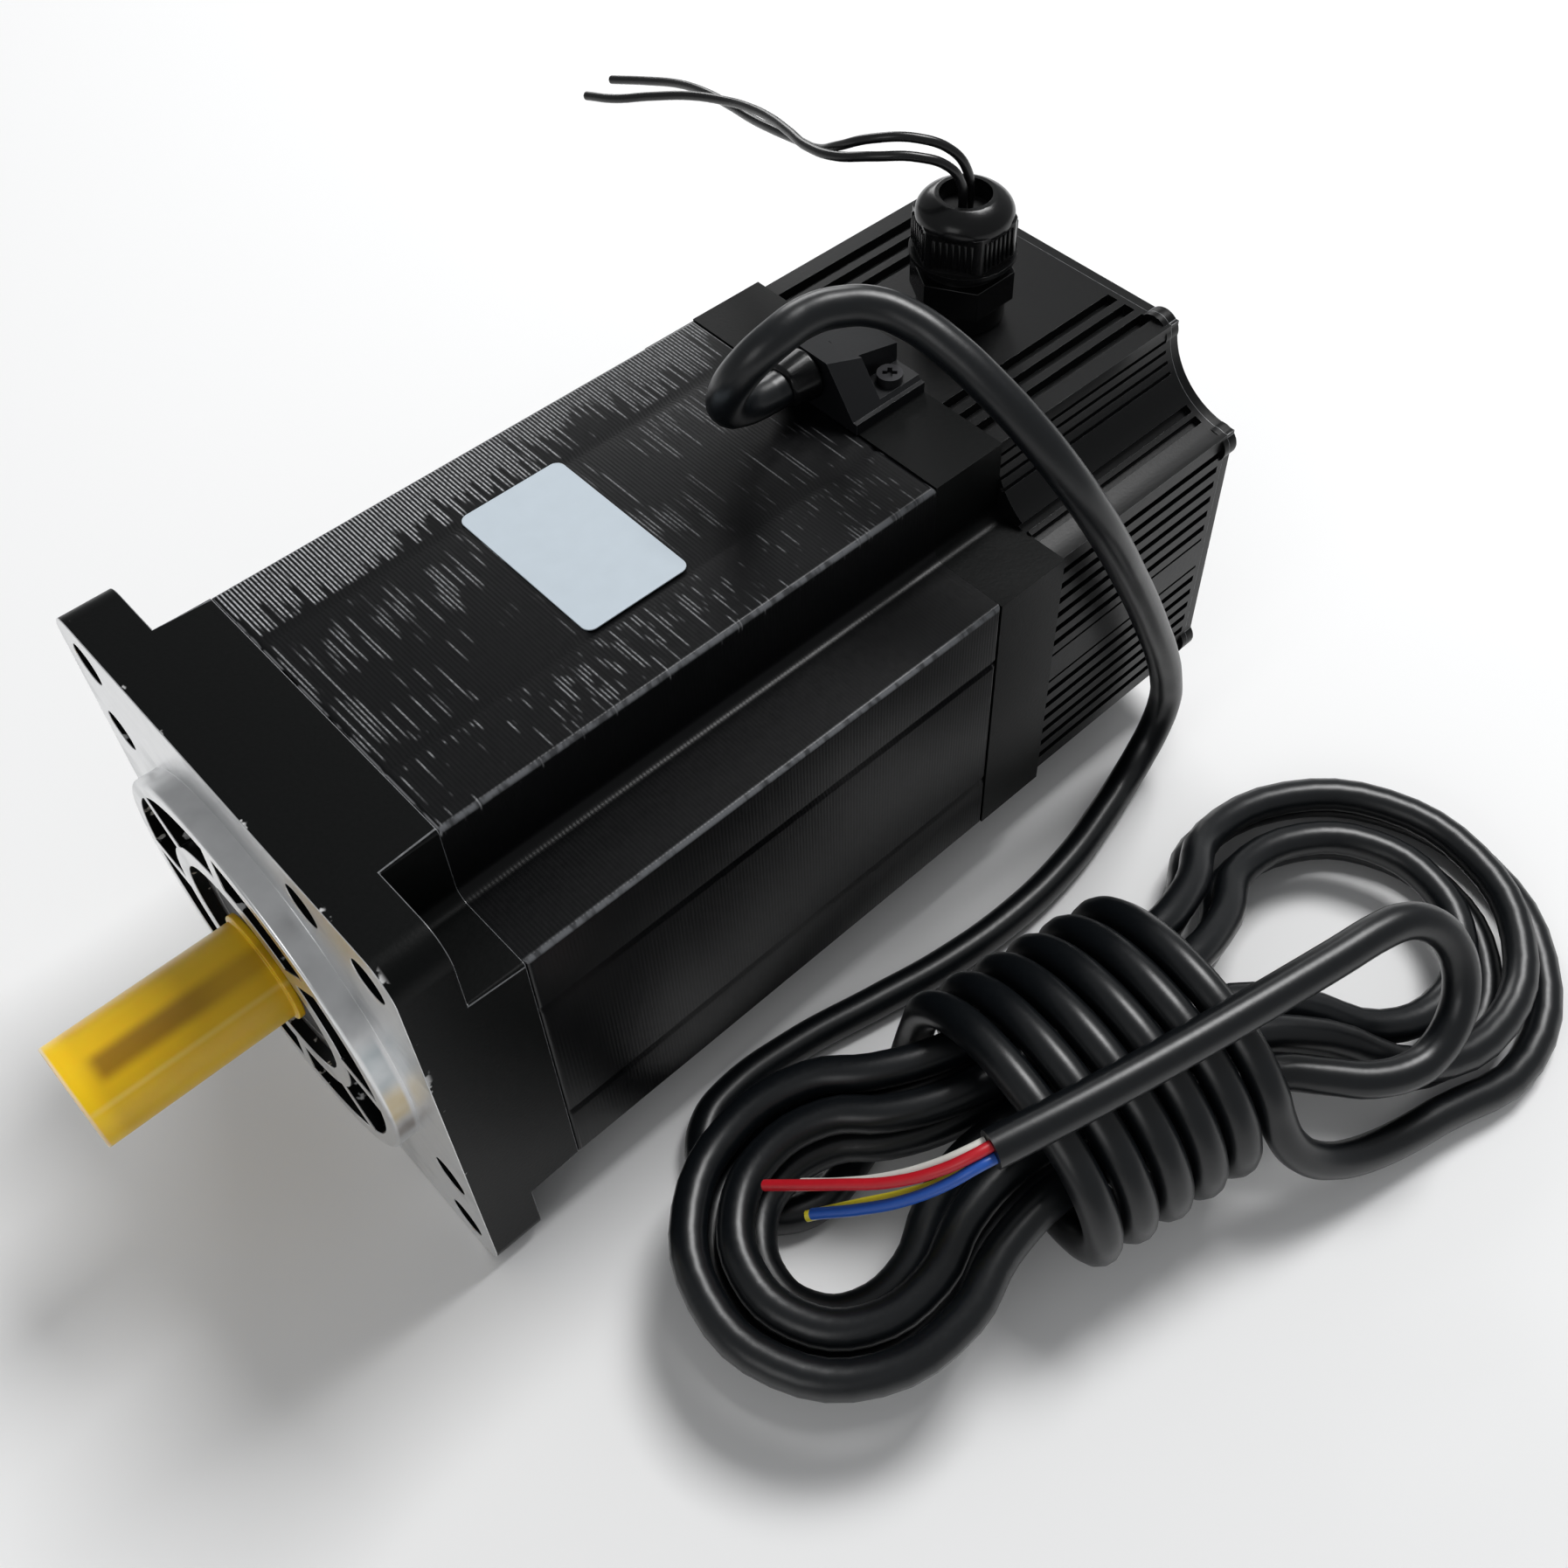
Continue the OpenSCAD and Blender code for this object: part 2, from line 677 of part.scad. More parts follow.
module inner_ring(x_front) {
    turned(x_front) difference() {
        translate([journal_r, 0]) square([inner_ring_r - journal_r, bearing_w]);
        translate([ball_pitch_r, bearing_w / 2]) circle(r = ball_r + ball_clear);
    }
}

module balls(x_front, r) {
    translate([x_front - bearing_w / 2, 0, 0]) ring_at(ball_count, ball_pitch_r) sphere(r = r, $fn = small_fn);
}

module cage(x_front) {
    difference() {
        turned(x_front - (bearing_w - cage_w) / 2) translate([ball_pitch_r - cage_wall / 2, 0])
            square([cage_wall, cage_w]);
        balls(x_front, ball_r + pocket_clear);
    }
}

module front_bearing_outer_ring() { color("#c6c8cb") outer_ring(front_bearing_x); }
module front_bearing_inner_ring() { color("#c6c8cb") inner_ring(front_bearing_x); }
module front_bearing_balls() { color("#dddfe1") balls(front_bearing_x, ball_r); }
module front_bearing_cage() { color("#b08d4f") cage(front_bearing_x); }
module rear_bearing_outer_ring() { color("#c6c8cb") outer_ring(rear_bearing_x); }
module rear_bearing_inner_ring() { color("#c6c8cb") inner_ring(rear_bearing_x); }
module rear_bearing_balls() { color("#dddfe1") balls(rear_bearing_x, ball_r); }
module rear_bearing_cage() { color("#b08d4f") cage(rear_bearing_x); }

// Spring washer that loads the rear bearing
module wave_washer() {
    x_washer = rear_bearing_x - bearing_w;
    color("#9a9da1") difference() {
        disc(x_rear_back + rear_web_t, x_washer, bearing_r - hole_clear);
        disc(x_rear_back, x_washer + cut, outer_ring_bore_r + ring_chamfer);
    }
}

// Section of the finned housing, with a hollow in each corner
module housing_section() {
    difference() {
        square(2 * housing_face, center = true);
        four_ways() translate([scallop_at, scallop_at]) circle(r = scallop_r);
    }
}

// Outline of the housing's rear end, with two lobes at each corner
module housing_outline() {
    housing_section();
    for (a = [-1, 1]) for (b = [-1, 1]) {
        translate([a * lobe_side, b * lobe_out]) circle(r = lobe_r, $fn = small_fn);
        translate([a * lobe_out, b * lobe_side]) circle(r = lobe_r, $fn = small_fn);
    }
}

module housing_grooves() {
    for (a = [-1, 1]) for (b = [-1, 1]) scale([a, b]) {
        for (i = [0:wide_groove_count - 1])
            translate([wide_groove_first + wide_groove_pitch * i, housing_face - groove_depth])
                translate([-wide_groove_w / 2, 0]) square([wide_groove_w, groove_depth + lobe_rise + cut]);
        for (i = [0:side_groove_count - 1])
            translate([housing_face - groove_depth, side_groove_first + side_groove_pitch * i])
                translate([0, -side_groove_w / 2]) square([groove_depth + lobe_rise + cut, side_groove_w]);
        translate([housing_face - fine_groove_depth, side_groove_first - thin_groove_in - fine_groove_w / 2])
            square([fine_groove_depth + cut, fine_groove_w]);
        translate([scallop_at, scallop_at]) {
            for (t = fine_groove_turns) rotate(t) translate([scallop_r - cut, -fine_groove_w / 2])
                square([fine_groove_depth + cut, fine_groove_w]);
            for (t = lobe_groove_turns) rotate(t) translate([scallop_r - cut, -lobe_groove_w / 2])
                square([lobe_groove_depth + cut, lobe_groove_w]);
        }
    }
}

// Finned housing round the brake
module brake_housing() {
    color("#17181a") difference() {
        union() {
            along_x(x_house_back + groove_end, x_rear_back) difference() {
                housing_section();
                housing_grooves();
            }
            along_x(x_house_back, x_house_back + groove_end) housing_outline();
        }
        disc(x_house_back - cut, x_rear_back + cut, housing_bore_r);
        translate([gland_x, 0, 0]) cylinder(h = big, r = gland_thread_d / 2, $fn = small_fn);
        for (p = screw_places) rod(x_house_back - cut, x_rear_back + cut, p, screw_d / 2 + hole_clear);
    }
}

module screw_cone(place, spare) {
    r = screw_head_d / 2 + spare;
    translate([x_end, place[0], place[1]]) rotate([0, 90, 0])
        cylinder(h = screw_slot, r1 = r, r2 = r - screw_slot, $fn = small_fn);
}

// Plate that closes the housing
module rear_cover() {
    color("#17181a") difference() {
        along_x(x_end, x_house_back) housing_outline();
        for (p = screw_places) {
            rod(x_end - cut, x_house_back + cut, p, screw_d / 2 + hole_clear);
            screw_cone(p, hole_clear);
        }
    }
}

// Long countersunk screws through the cover and housing into the rear cap
module housing_screws() {
    slot_w = 1;
    color("#3a3b3d") for (p = screw_places) difference() {
        union() {
            rod(x_end + screw_slot / 2, x_rear_back + screw_into_cap, p, screw_d / 2);
            screw_cone(p, 0);
        }
        for (t = cross_turns) translate([x_end, p[0], p[1]]) rotate([t, 0, 0])
            translate([-cut, -slot_w / 2, -screw_d / 2]) cube([cut + screw_slot / 2, slot_w, screw_d]);
    }
}

// Fixed friction plate on the rear cap
module brake_friction_plate() {
    color("#7d8084") difference() {
        disc(x_plate, x_rear_back, brake_r);
        disc(x_plate - cut, x_rear_back + cut, plate_bore_r);
        ring_at(brake_screw_count, brake_screw_pitch_r, brake_screw_turn)
            rod(x_plate - cut, x_rear_back + cut, [0, 0], brake_screw_d / 2);
    }
}

// Disc with a lining on both faces, driven by the square hub
module brake_disc() {
    side = hub_w + 2 * hub_clear;
    color("#4b443c") difference() {
        union() {
            disc(x_disc - disc_t + lining_step, x_disc - lining_step, disc_r);
            difference() {
                disc(x_disc - disc_t, x_disc, disc_r);
                disc(x_disc - disc_t - cut, x_disc + cut, lining_r);
            }
        }
        translate([x_disc - disc_t - cut, -side / 2, -side / 2]) cube([disc_t + 2 * cut, side, side]);
    }
}

module brake_hub() {
    color("#9fa2a6") difference() {
        translate([x_hub - hub_l, -hub_w / 2, -hub_w / 2]) cube([hub_l, hub_w, hub_w]);
        disc(x_hub - hub_l - cut, x_hub + cut, brake_seat_r);
        translate([x_hub - hub_l - cut, -hub_key_w / 2, 0])
            cube([hub_l + 2 * cut, hub_key_w, brake_seat_r + hub_key_h]);
    }
}

module brake_hub_key() {
    color("#c6c8cb") translate([x_hub - hub_l, -hub_key_w / 2, brake_seat_r - hub_key_h])
        cube([hub_l, hub_key_w, 2 * hub_key_h]);
}

module hub_retaining_ring() {
    gap_w = 4;
    color("#3a3b3d") difference() {
        disc(x_hub - hub_l - ring_w, x_hub - hub_l, ring_r);
        disc(x_hub - hub_l - 2 * ring_w, x_hub - hub_l + cut, brake_seat_r - ring_depth());
        translate([x_hub - hub_l - 2 * ring_w, -gap_w / 2, 0]) cube([3 * ring_w, gap_w, ring_r + cut]);
    }
}

// Plate that the springs press on the disc, and the magnet draws back
module brake_armature() {
    color("#8d9094") difference() {
        disc(x_armature - armature_t, x_armature, armature_r);
        disc(x_armature - armature_t - cut, x_armature + cut, armature_bore_r);
        ring_at(brake_screw_count, brake_screw_pitch_r, brake_screw_turn)
            rod(x_armature - armature_t - cut, x_armature + cut, [0, 0], spacer_r + spacer_clear);
    }
}

module brake_magnet_body() {
    color("#7d8084") difference() {
        disc(x_magnet - magnet_l, x_magnet, brake_r);
        disc(x_magnet - magnet_l - cut, x_magnet + cut, magnet_bore_r);
        difference() {
            disc(x_magnet - coil_depth, x_magnet + cut, coil_out_r);
            disc(x_magnet - coil_depth - cut, x_magnet + 2 * cut, coil_in_r);
        }
        ring_at(spring_count, spring_pitch_r)
            rod(x_magnet - spring_pocket_depth, x_magnet + cut, [0, 0], spring_pocket_r);
        ring_at(brake_screw_count, brake_screw_pitch_r, brake_screw_turn)
            rod(x_magnet - magnet_l - cut, x_magnet + cut, [0, 0], brake_screw_d / 2);
    }
}

module brake_coil() {
    color("#a8552b") difference() {
        disc(x_magnet - coil_depth, x_magnet - coil_t, coil_out_r);
        disc(x_magnet - coil_depth - cut, x_magnet, coil_in_r);
    }
}

module brake_springs() {
    color("#c6c8cb") ring_at(spring_count, spring_pitch_r)
        rod(x_magnet - spring_pocket_depth, x_magnet + spring_out, [0, 0], spring_r);
}

module brake_spacers() {
    color("#9fa2a6") ring_at(brake_screw_count, brake_screw_pitch_r, brake_screw_turn) difference() {
        rod(x_magnet, x_plate, [0, 0], spacer_r);
        rod(x_magnet - cut, x_plate + cut, [0, 0], brake_screw_d / 2);
    }
}

module brake_screws() {
    color("#3a3b3d") ring_at(brake_screw_count, brake_screw_pitch_r, brake_screw_turn) difference() {
        union() {
            rod(x_magnet - magnet_l, x_rear_back + brake_screw_into, [0, 0], brake_screw_d / 2);
            rod(x_magnet - magnet_l - brake_screw_head_h, x_magnet - magnet_l, [0, 0], brake_screw_head_d / 2);
        }
        translate([x_magnet - magnet_l - brake_screw_head_h - cut, 0, 0]) rotate([0, 90, 0])
            cylinder(h = cut + tie_socket_depth, r = tie_socket_d / 2 / cos(30), $fn = 6);
    }
}

module upright(z_a, z_b, r, sides = small_fn) {
    translate([gland_x, 0, z_a]) cylinder(h = z_b - z_a, r = r, $fn = sides);
}

// Cable gland on the housing: lock collar, hexagon body, seal and domed nut
module gland_collar() {
    color("#141516") difference() {
        upright(z_panel, z_hex, gland_collar_d / 2);
        upright(z_panel - cut, z_hex + cut, gland_thread_d / 2);
    }
}

module gland_body() {
    color("#1b1c1e") difference() {
        union() {
            upright(z_panel - gland_stem_l, z_hex + cut, gland_thread_d / 2);
            upright(z_hex, z_neck, gland_w / 2, 6);
            upright(z_neck - cut, z_nut, gland_neck_d / 2);
        }
        upright(z_panel - gland_stem_l - cut, z_nut + cut, gland_bore_r);
    }
}

module gland_seal() {
    color("#101010") difference() {
        upright(z_seal_top - gland_seal_h, z_seal_top, gland_bore_r + sleeve_wall);
        for (run = [lead_a_run, lead_b_run]) translate([run[0][0], run[0][1], z_seal_top - gland_seal_h - cut])
            cylinder(h = gland_seal_h - lead_d, r = lead_d / 2, $fn = small_fn);
    }
}

module gland_nut() {
    r = gland_w / 2;
    dome_r = r - gland_nut_lip;
    squash = gland_dome_h / sqrt(pow(dome_r, 2) - pow(gland_mouth_d / 2 + gland_rim, 2));
    color("#1b1c1e") difference() {
        union() {
            intersection() {
                upright(z_nut, z_dome, r, 6);
                upright(z_nut, z_dome, r - gland_nut_lip / 2);
            }
            upright(z_nut, z_nut + gland_nut_lip, r);
            intersection() {
                upright(z_dome - cut, z_gland_top, r);
                translate([gland_x, 0, z_dome]) scale([1, 1, squash]) sphere(r = dome_r, $fn = small_fn);
            }
        }
        upright(z_nut - cut, z_seal_top, gland_bore_r + sleeve_wall);
        upright(z_dome, z_gland_top + cut, gland_mouth_d / 2);
    }
}

// Wedge-shaped cover over the cable's way out of the rear cap
module cable_outlet_cover() {
    half_base = outlet_base_w / 2;
    half_top = outlet_top_w / 2;
    z_low = half_w + outlet_base_h / 2;
    z_base = half_w + outlet_base_h;
    z_top = half_w + outlet_h;
    x_back = x_rear_back;
    ledge_w = half_base + outlet_lip + cut - outlet_ledge_w;
    color("#1f2023") difference() {
        union() {
            translate([x_back, -half_base - outlet_lip, half_w])
                cube([outlet_front - x_back, outlet_base_w + 2 * outlet_lip, outlet_base_h]);
            difference() {
                along_x(x_back, outlet_front) polygon([[-half_base, z_low], [half_base, z_low],
                    [half_base, z_base], [half_top, z_top], [-half_top, z_top], [-half_base, z_base]]);
                translate([x_back, -half_base, z_top - outlet_back])
                    rotate([0, -atan(outlet_back / (outlet_front - x_back)), 0])
                    translate([-rear_cap_l, -cut, 0]) cube([3 * rear_cap_l, outlet_base_w + 2 * cut, outlet_h]);
            }
        }
        for (s = [-1, 1]) {
            translate([x_back - cut, s < 0 ? -ledge_w - outlet_ledge_w : outlet_ledge_w, z_base + outlet_lip])
                cube([outlet_ledge_l + cut, ledge_w, outlet_h]);
            translate([outlet_screw_x(), s * outlet_screw_y(), half_w - cut])
                cylinder(h = outlet_h, r = outlet_screw_d / 2, $fn = small_fn);
        }
        translate([outlet_mid_x(), 0, half_w - cut])
            cylinder(h = outlet_base_h + cable_up, r = outlet_bore_r, $fn = small_fn);
        rod(outlet_mid_x(), outlet_front + cut, [0, z_cable], cable_d / 2);
    }
}

module outlet_screws() {
    z_seat = half_w + outlet_base_h + outlet_lip;
    z_tip = half_w - outlet_screw_l;
    color("#6f7276") for (s = [-1, 1]) translate([outlet_screw_x(), s * outlet_screw_y(), 0]) difference() {
        union() {
            translate([0, 0, z_tip])
                cylinder(h = z_seat - z_tip + cut / 2, r = outlet_screw_d / 2, $fn = small_fn);
            translate([0, 0, z_seat])
                cylinder(h = outlet_screw_head_h, r = outlet_screw_head_d / 2, $fn = small_fn);
        }
        for (t = cross_turns) rotate(t)
            translate([-outlet_screw_d / 2, -outlet_lip / 2, z_seat + outlet_screw_head_h / 2])
                cube([outlet_screw_d, outlet_lip, outlet_screw_head_h]);
    }
}

// Rubber stub that the motor cable leaves through
module strain_relief() {
    color("#161718") translate([outlet_front, 0, z_cable]) rotate([0, 90, 0]) difference() {
        cylinder(h = relief_l, r1 = relief_d / 2, r2 = relief_tip_d / 2, $fn = small_fn);
        translate([0, 0, -cut]) cylinder(h = cut + relief_l / 3, r = cable_d / 2, $fn = small_fn);
    }
}

// Blank sticker on the stator
module label_plate() {
    color("#c3c9cf") translate([label_at[0], label_at[1], half_w]) linear_extrude(height = label_t) {
        square([label_w, label_l - 2 * label_r], center = true);
        square([label_w - 2 * label_r, label_l], center = true);
        for (a = [-1, 1]) for (b = [-1, 1]) translate([a * (label_w / 2 - label_r), b * (label_l / 2 - label_r)])
            circle(r = label_r, $fn = small_fn);
    }
}

// Sweep of a round tube along points, its ends square to the first and last stretch
function unit(v) = v / norm(v);
function tangent(p, i) = unit(unit(p[min(i + 1, len(p) - 1)] - p[max(i - 1, 0)]));
function carried(p, n, i) = let (t = tangent(p, i)) unit(n - (n * t) * t);
function normals(p) = [for (i = 0, n = carried(p, first_normal(p), 0); i < len(p);
    i = i + 1, n = i < len(p) ? carried(p, n, i) : n) n];
function first_normal(p) = let (t = tangent(p, 0)) abs(t[2]) > 0.9 ? [1, 0, 0] : [0, 0, 1];

module tube(p, d, sides) {
    n = normals(p);
    rings = len(p);
    points = [for (i = [0:rings - 1]) let (t = tangent(p, i), b = cross(t, n[i]))
        for (k = [0:sides - 1]) let (a = 360 / sides * (k + 0.5)) p[i] + d / 2 * (cos(a) * n[i] + sin(a) * b)];
    faces = concat([[for (k = [0:sides - 1]) k]],
        [for (i = [0:rings - 2]) for (k = [0:sides - 1]) let (q = (k + 1) % sides, a = i * sides, b = a + sides)
            each [[a + k, b + k, b + q], [a + k, b + q, a + q]]],
        [[for (k = [sides - 1:-1:0]) (rings - 1) * sides + k]]);
    polyhedron(points, faces);
}

// The hank's centre line: an entry, wraps, runs laid up and down, and a tail
function lerp(a, b, t) = a + (b - a) * t;
function ease(t) = let (c = min(1, max(0, t))) c * c * (3 - 2 * c);
function bezier(a, b, c, d, t) =
    pow(1 - t, 3) * a + 3 * pow(1 - t, 2) * t * b + 3 * (1 - t) * t * t * c + pow(t, 3) * d;
function joined(a, ta, b, tb, grip_a, grip_b, n) =
    [for (i = [1:n - 1]) bezier(a, a + grip_a * unit(ta), b - grip_b * unit(tb), b, i / n)];
function half_turn(a, b, way, n) = let (m = (a + b) / 2, r = norm(b - a) / 2, up = unit(b - a))
    [for (i = [0:n]) m - r * cos(180 * i / n) * up + r * sin(180 * i / n) * unit(way)];
wrap_mid_h = cable_d / 2 + wrap_half_h;
function shrink(p) = abs(p - climb_run) / 2;
function run_lift(x) = let (u = x + waist_back, low = cable_d / 2 + (u < 0 ? left_lift : 0))
    lerp(wrap_mid_h - run_step / 2, low, ease((abs(u) - lift_from) / (lift_to - lift_from)));
function run_point(p) = let (s = shrink(p), waist = run_in + run_step * s,
        to_fold = 2 * abs(p - floor(p) - 0.5), right = cos(180 * p) > 0, side = sin(180 * p) >= 0 ? 1 : -1,
        level = level_l - level_step * s,
        half = right ? half_right + half_step_right * s : half_left + half_step_left * s,
        reach = right ? reach_right + reach_step_right * s : reach_left + reach_step_left * s,
        spread_l = reach - half - level, out = min(1, max(0, 3 * to_fold - 0.5) / 1.25),
        bend = 90 * max(0, (to_fold - 7 / 12) * 12 / 5),
        spread = bezier(0, spread_l / 2, spread_l / 2, spread_l, out),
        u = level * min(1, 6 * to_fold) + spread + half * sin(bend),
        w = bend > 0 ? half * cos(bend) : bezier(waist, waist, half, half, out),
        x = (right ? u : -u) - waist_back)
    [x, side * w, run_lift(x) + run_step * ease(p - climb_run + 0.5)];
function wrap_point(q) = [wrap_start + wrap_pitch * q, wrap_mid_w + wrap_half_w * sin(360 * q),
    wrap_mid_h - wrap_half_h * cos(360 * q)];
wrap_count = round((wrap_turns - wrap_first) * wrap_rings) - 1;
wraps = [for (i = [0:wrap_count]) wrap_point(wrap_first + i / wrap_rings)];
runs = [for (i = [0:round((run_last - run_first) * run_rings)]) run_point(run_first + i / run_rings)];
entry_way = [cos(entry_turn), sin(entry_turn), 0];
entry_foot = [wraps[0][0], wraps[0][1], cable_d / 2] - entry_reach * entry_way;
entry_start = entry_foot - cable_d * entry_way;
wrap_exit = wraps[wrap_count] - wraps[wrap_count - 1];
runs_end = runs[len(runs) - 1];
hank_path = concat([entry_start, entry_foot],
    joined(entry_foot, entry_way, wraps[0], wraps[1] - wraps[0], entry_grip, entry_grip, join_rings), wraps,
    joined(wraps[wrap_count], wrap_exit, runs[0], runs[1] - runs[0], exit_grip, exit_grip_late, join_rings),
    runs,
    joined(runs_end, [1, 0, 0], tail_in, [1, 0, 0], cable_d, cable_d, 3), [tail_in],
    joined(tail_in, [1, 0, 0], tail_low, [1, 0, 0], tail_grip, tail_grip, 4),
    half_turn(tail_low, tail_high, [1, 0, 0], tail_rings),
    joined(tail_high, [-1, 0, 0], tail_end, [-1, 0.1, -0.05], tail_grip_late, tail_grip_late, join_rings),
    [tail_end]);
hank_places = [for (q = hank_path) [hank_at[0] + q[0] * cos(hank_turn) - q[1] * sin(hank_turn),
    hank_at[1] + q[0] * sin(hank_turn) + q[1] * cos(hank_turn), rest_z + q[2]]];

// Least gap of a path to itself, and its tightest bend
function path_marks(p) =
    [for (i = 0, s = 0; i < len(p); s = i < len(p) - 1 ? s + norm(p[i + 1] - p[i]) : s, i = i + 1) s];
function apart(a, b, c, d) = let (u = b - a, v = d - c, w = a - c, uu = u * u, uv = u * v, vv = v * v,
    den = uu * vv - uv * uv, s = den < 0.000001 ? 0 : min(1, max(0, (uv * (v * w) - vv * (u * w)) / den)),
    t = min(1, max(0, (uv * s + v * w) / vv)), r = min(1, max(0, (uv * t - u * w) / uu)))
    norm(w + r * u - t * v);
function least_gap(p, d) = let (m = path_marks(p), n = len(p) - 2)
    min([for (i = [0:n]) for (j = [i + 1:n]) if (m[j] - m[i + 1] > 2 * d && norm(p[i] - p[j]) < 5 * d)
        apart(p[i], p[i + 1], p[j], p[j + 1])]) - d;
function bend_r(a, b, c) = let (k = norm(cross(b - a, c - b))) k < 0.000001 ? frame_w * frame_w
    : norm(b - a) * norm(c - b) * norm(a - c) / 2 / k;
function tightest(p) = min([for (i = [1:len(p) - 2]) bend_r(p[i - 1], p[i], p[i + 1])]);
function path_length(p) = path_marks(p)[len(p) - 1];
cable_path = concat(cable_run, [hank_places[0]]);
hank_gap = least_gap(hank_places, cable_d);
echo(hank_length = path_length(hank_places), hank_gap = hank_gap, gap_kept = hank_gap > min_gap,
    hank_bend = tightest(hank_places));
echo(cable_length = path_length(cable_path), cable_bend = tightest(cable_path), hank_from = hank_places[0],
    hank_next = hank_places[1], jacket_end = hank_places[len(hank_places) - 1]);
echo(lead_a_length = path_length(lead_a_run), lead_b_length = path_length(lead_b_run),
    lead_bends = [tightest(lead_a_run), tightest(lead_b_run)]);
echo(core_lengths = [for (r = [core_white_run, core_red_run, core_blue_run, core_yellow_run]) path_length(r)]);

module brake_lead_a() { color("#151516") tube(lead_a_run, lead_d, cable_sides); }
module brake_lead_b() { color("#151516") tube(lead_b_run, lead_d, cable_sides); }
module motor_cable() { color("#1c1d20") tube(cable_path, cable_d, cable_sides); }
module motor_cable_hank() { color("#1c1d20") tube(hank_places, cable_d, hank_sides); }
module core_white() { color("#e6e6e2") tube(core_white_run, core_d, cable_sides); }
module core_red() { color("#b3202a") tube(core_red_run, core_d, cable_sides); }
module core_blue() { color("#1f55a8") tube(core_blue_run, core_d, cable_sides); }
module core_yellow() { color("#d8c12e") tube(core_yellow_run, core_d, cable_sides); }

front_flange();
stator_core();
stator_windings();
rear_end_cap();
tie_bolts();
rotor_front_stack();
rotor_magnet();
rotor_rear_stack();
motor_shaft();
shaft_sleeve();
oil_seal_case();
oil_seal_lip();
front_bearing_outer_ring();
front_bearing_inner_ring();
front_bearing_balls();
front_bearing_cage();
rear_bearing_outer_ring();
rear_bearing_inner_ring();
rear_bearing_balls();
rear_bearing_cage();
wave_washer();
brake_housing();
rear_cover();
housing_screws();
brake_friction_plate();
brake_disc();
brake_hub();
brake_hub_key();
hub_retaining_ring();
brake_armature();
brake_magnet_body();
brake_coil();
brake_springs();
brake_spacers();
brake_screws();
gland_collar();
gland_body();
gland_seal();
gland_nut();
cable_outlet_cover();
outlet_screws();
strain_relief();
label_plate();
brake_lead_a();
brake_lead_b();
motor_cable();
motor_cable_hank();
core_white();
core_red();
core_blue();
core_yellow();
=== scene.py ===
import math

import bpy
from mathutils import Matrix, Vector


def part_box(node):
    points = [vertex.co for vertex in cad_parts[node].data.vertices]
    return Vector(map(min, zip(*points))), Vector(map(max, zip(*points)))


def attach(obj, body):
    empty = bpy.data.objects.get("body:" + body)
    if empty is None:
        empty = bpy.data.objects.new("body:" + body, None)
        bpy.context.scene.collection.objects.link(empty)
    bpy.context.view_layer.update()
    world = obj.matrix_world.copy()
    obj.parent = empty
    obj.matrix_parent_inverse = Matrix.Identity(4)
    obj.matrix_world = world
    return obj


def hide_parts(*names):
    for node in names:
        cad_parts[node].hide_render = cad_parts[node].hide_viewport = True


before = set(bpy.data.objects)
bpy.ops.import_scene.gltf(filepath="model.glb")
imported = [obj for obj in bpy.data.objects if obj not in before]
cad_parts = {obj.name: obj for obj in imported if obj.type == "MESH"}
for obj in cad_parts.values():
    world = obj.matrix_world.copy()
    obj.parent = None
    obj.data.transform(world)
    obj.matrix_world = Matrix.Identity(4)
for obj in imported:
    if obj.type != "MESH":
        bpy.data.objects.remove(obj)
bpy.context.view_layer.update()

# Camera, floor and light. The camera stands where the photograph was taken from,
# close above the cable's side and a little in front of the flange.
# The floor is a plain pale sheet, and three soft panels light the object.
bpy.ops.object.select_all(action="DESELECT")
bpy.ops.object.camera_add(location=(0.04021, 0.19904, 0.28391), rotation=(0.701158, 0.008269, 2.382004))
camera = bpy.context.object
camera.data.sensor_width = 36
camera.data.lens = 39.41
camera.data.shift_x = -0.0335
camera.data.shift_y = -0.0668
camera.data.clip_start = 0.01
bpy.context.scene.camera = camera
bpy.context.scene.view_settings.view_transform = "Standard"

bpy.ops.mesh.primitive_plane_add(size=6, location=(0, 0, -0.0551))
floor = bpy.context.object
floor.name = "floor"
floor_paint = bpy.data.materials.new("floor_paint")
floor_paint.use_nodes = True
floor_shader = floor_paint.node_tree.nodes["Principled BSDF"]
floor_shader.inputs["Base Color"].default_value = (0.9, 0.9, 0.9, 1)
floor_shader.inputs["Roughness"].default_value = 0.9
floor_shader.inputs["Specular IOR Level"].default_value = 0.1
floor.data.materials.append(floor_paint)

for name, place, size, power in (
    ("key_panel", (-0.75, -0.05, 1.2), 0.5, 14),
    ("rim_panel", (-0.9, -1.2, 0.6), 0.6, 6),
    ("front_panel", (1.2, 0.4, 0.8), 0.7, 3),
):
    bpy.ops.object.light_add(type="AREA", location=place)
    lamp = bpy.context.object
    lamp.name = name
    lamp.data.size = size
    lamp.data.energy = power
    lamp.rotation_euler = (Vector(place) - Vector((-0.09, 0.03, 0))).to_track_quat("Z", "Y").to_euler()

world = bpy.data.worlds.new("studio")
bpy.context.scene.world = world
world.use_nodes = True
sky = world.node_tree.nodes["Background"]
sky.inputs["Color"].default_value = (0.3, 0.305, 0.31, 1)
sky.inputs["Strength"].default_value = 1

# Motor cable. A limp round cable, 7.6 mm across in a satin black jacket, leaves the
# outlet forward, turns back over it in one loop and comes down the motor's side to
# the floor. Its hank is the same cable, laid up and down and wrapped in the middle.
CABLE_D = 0.0076


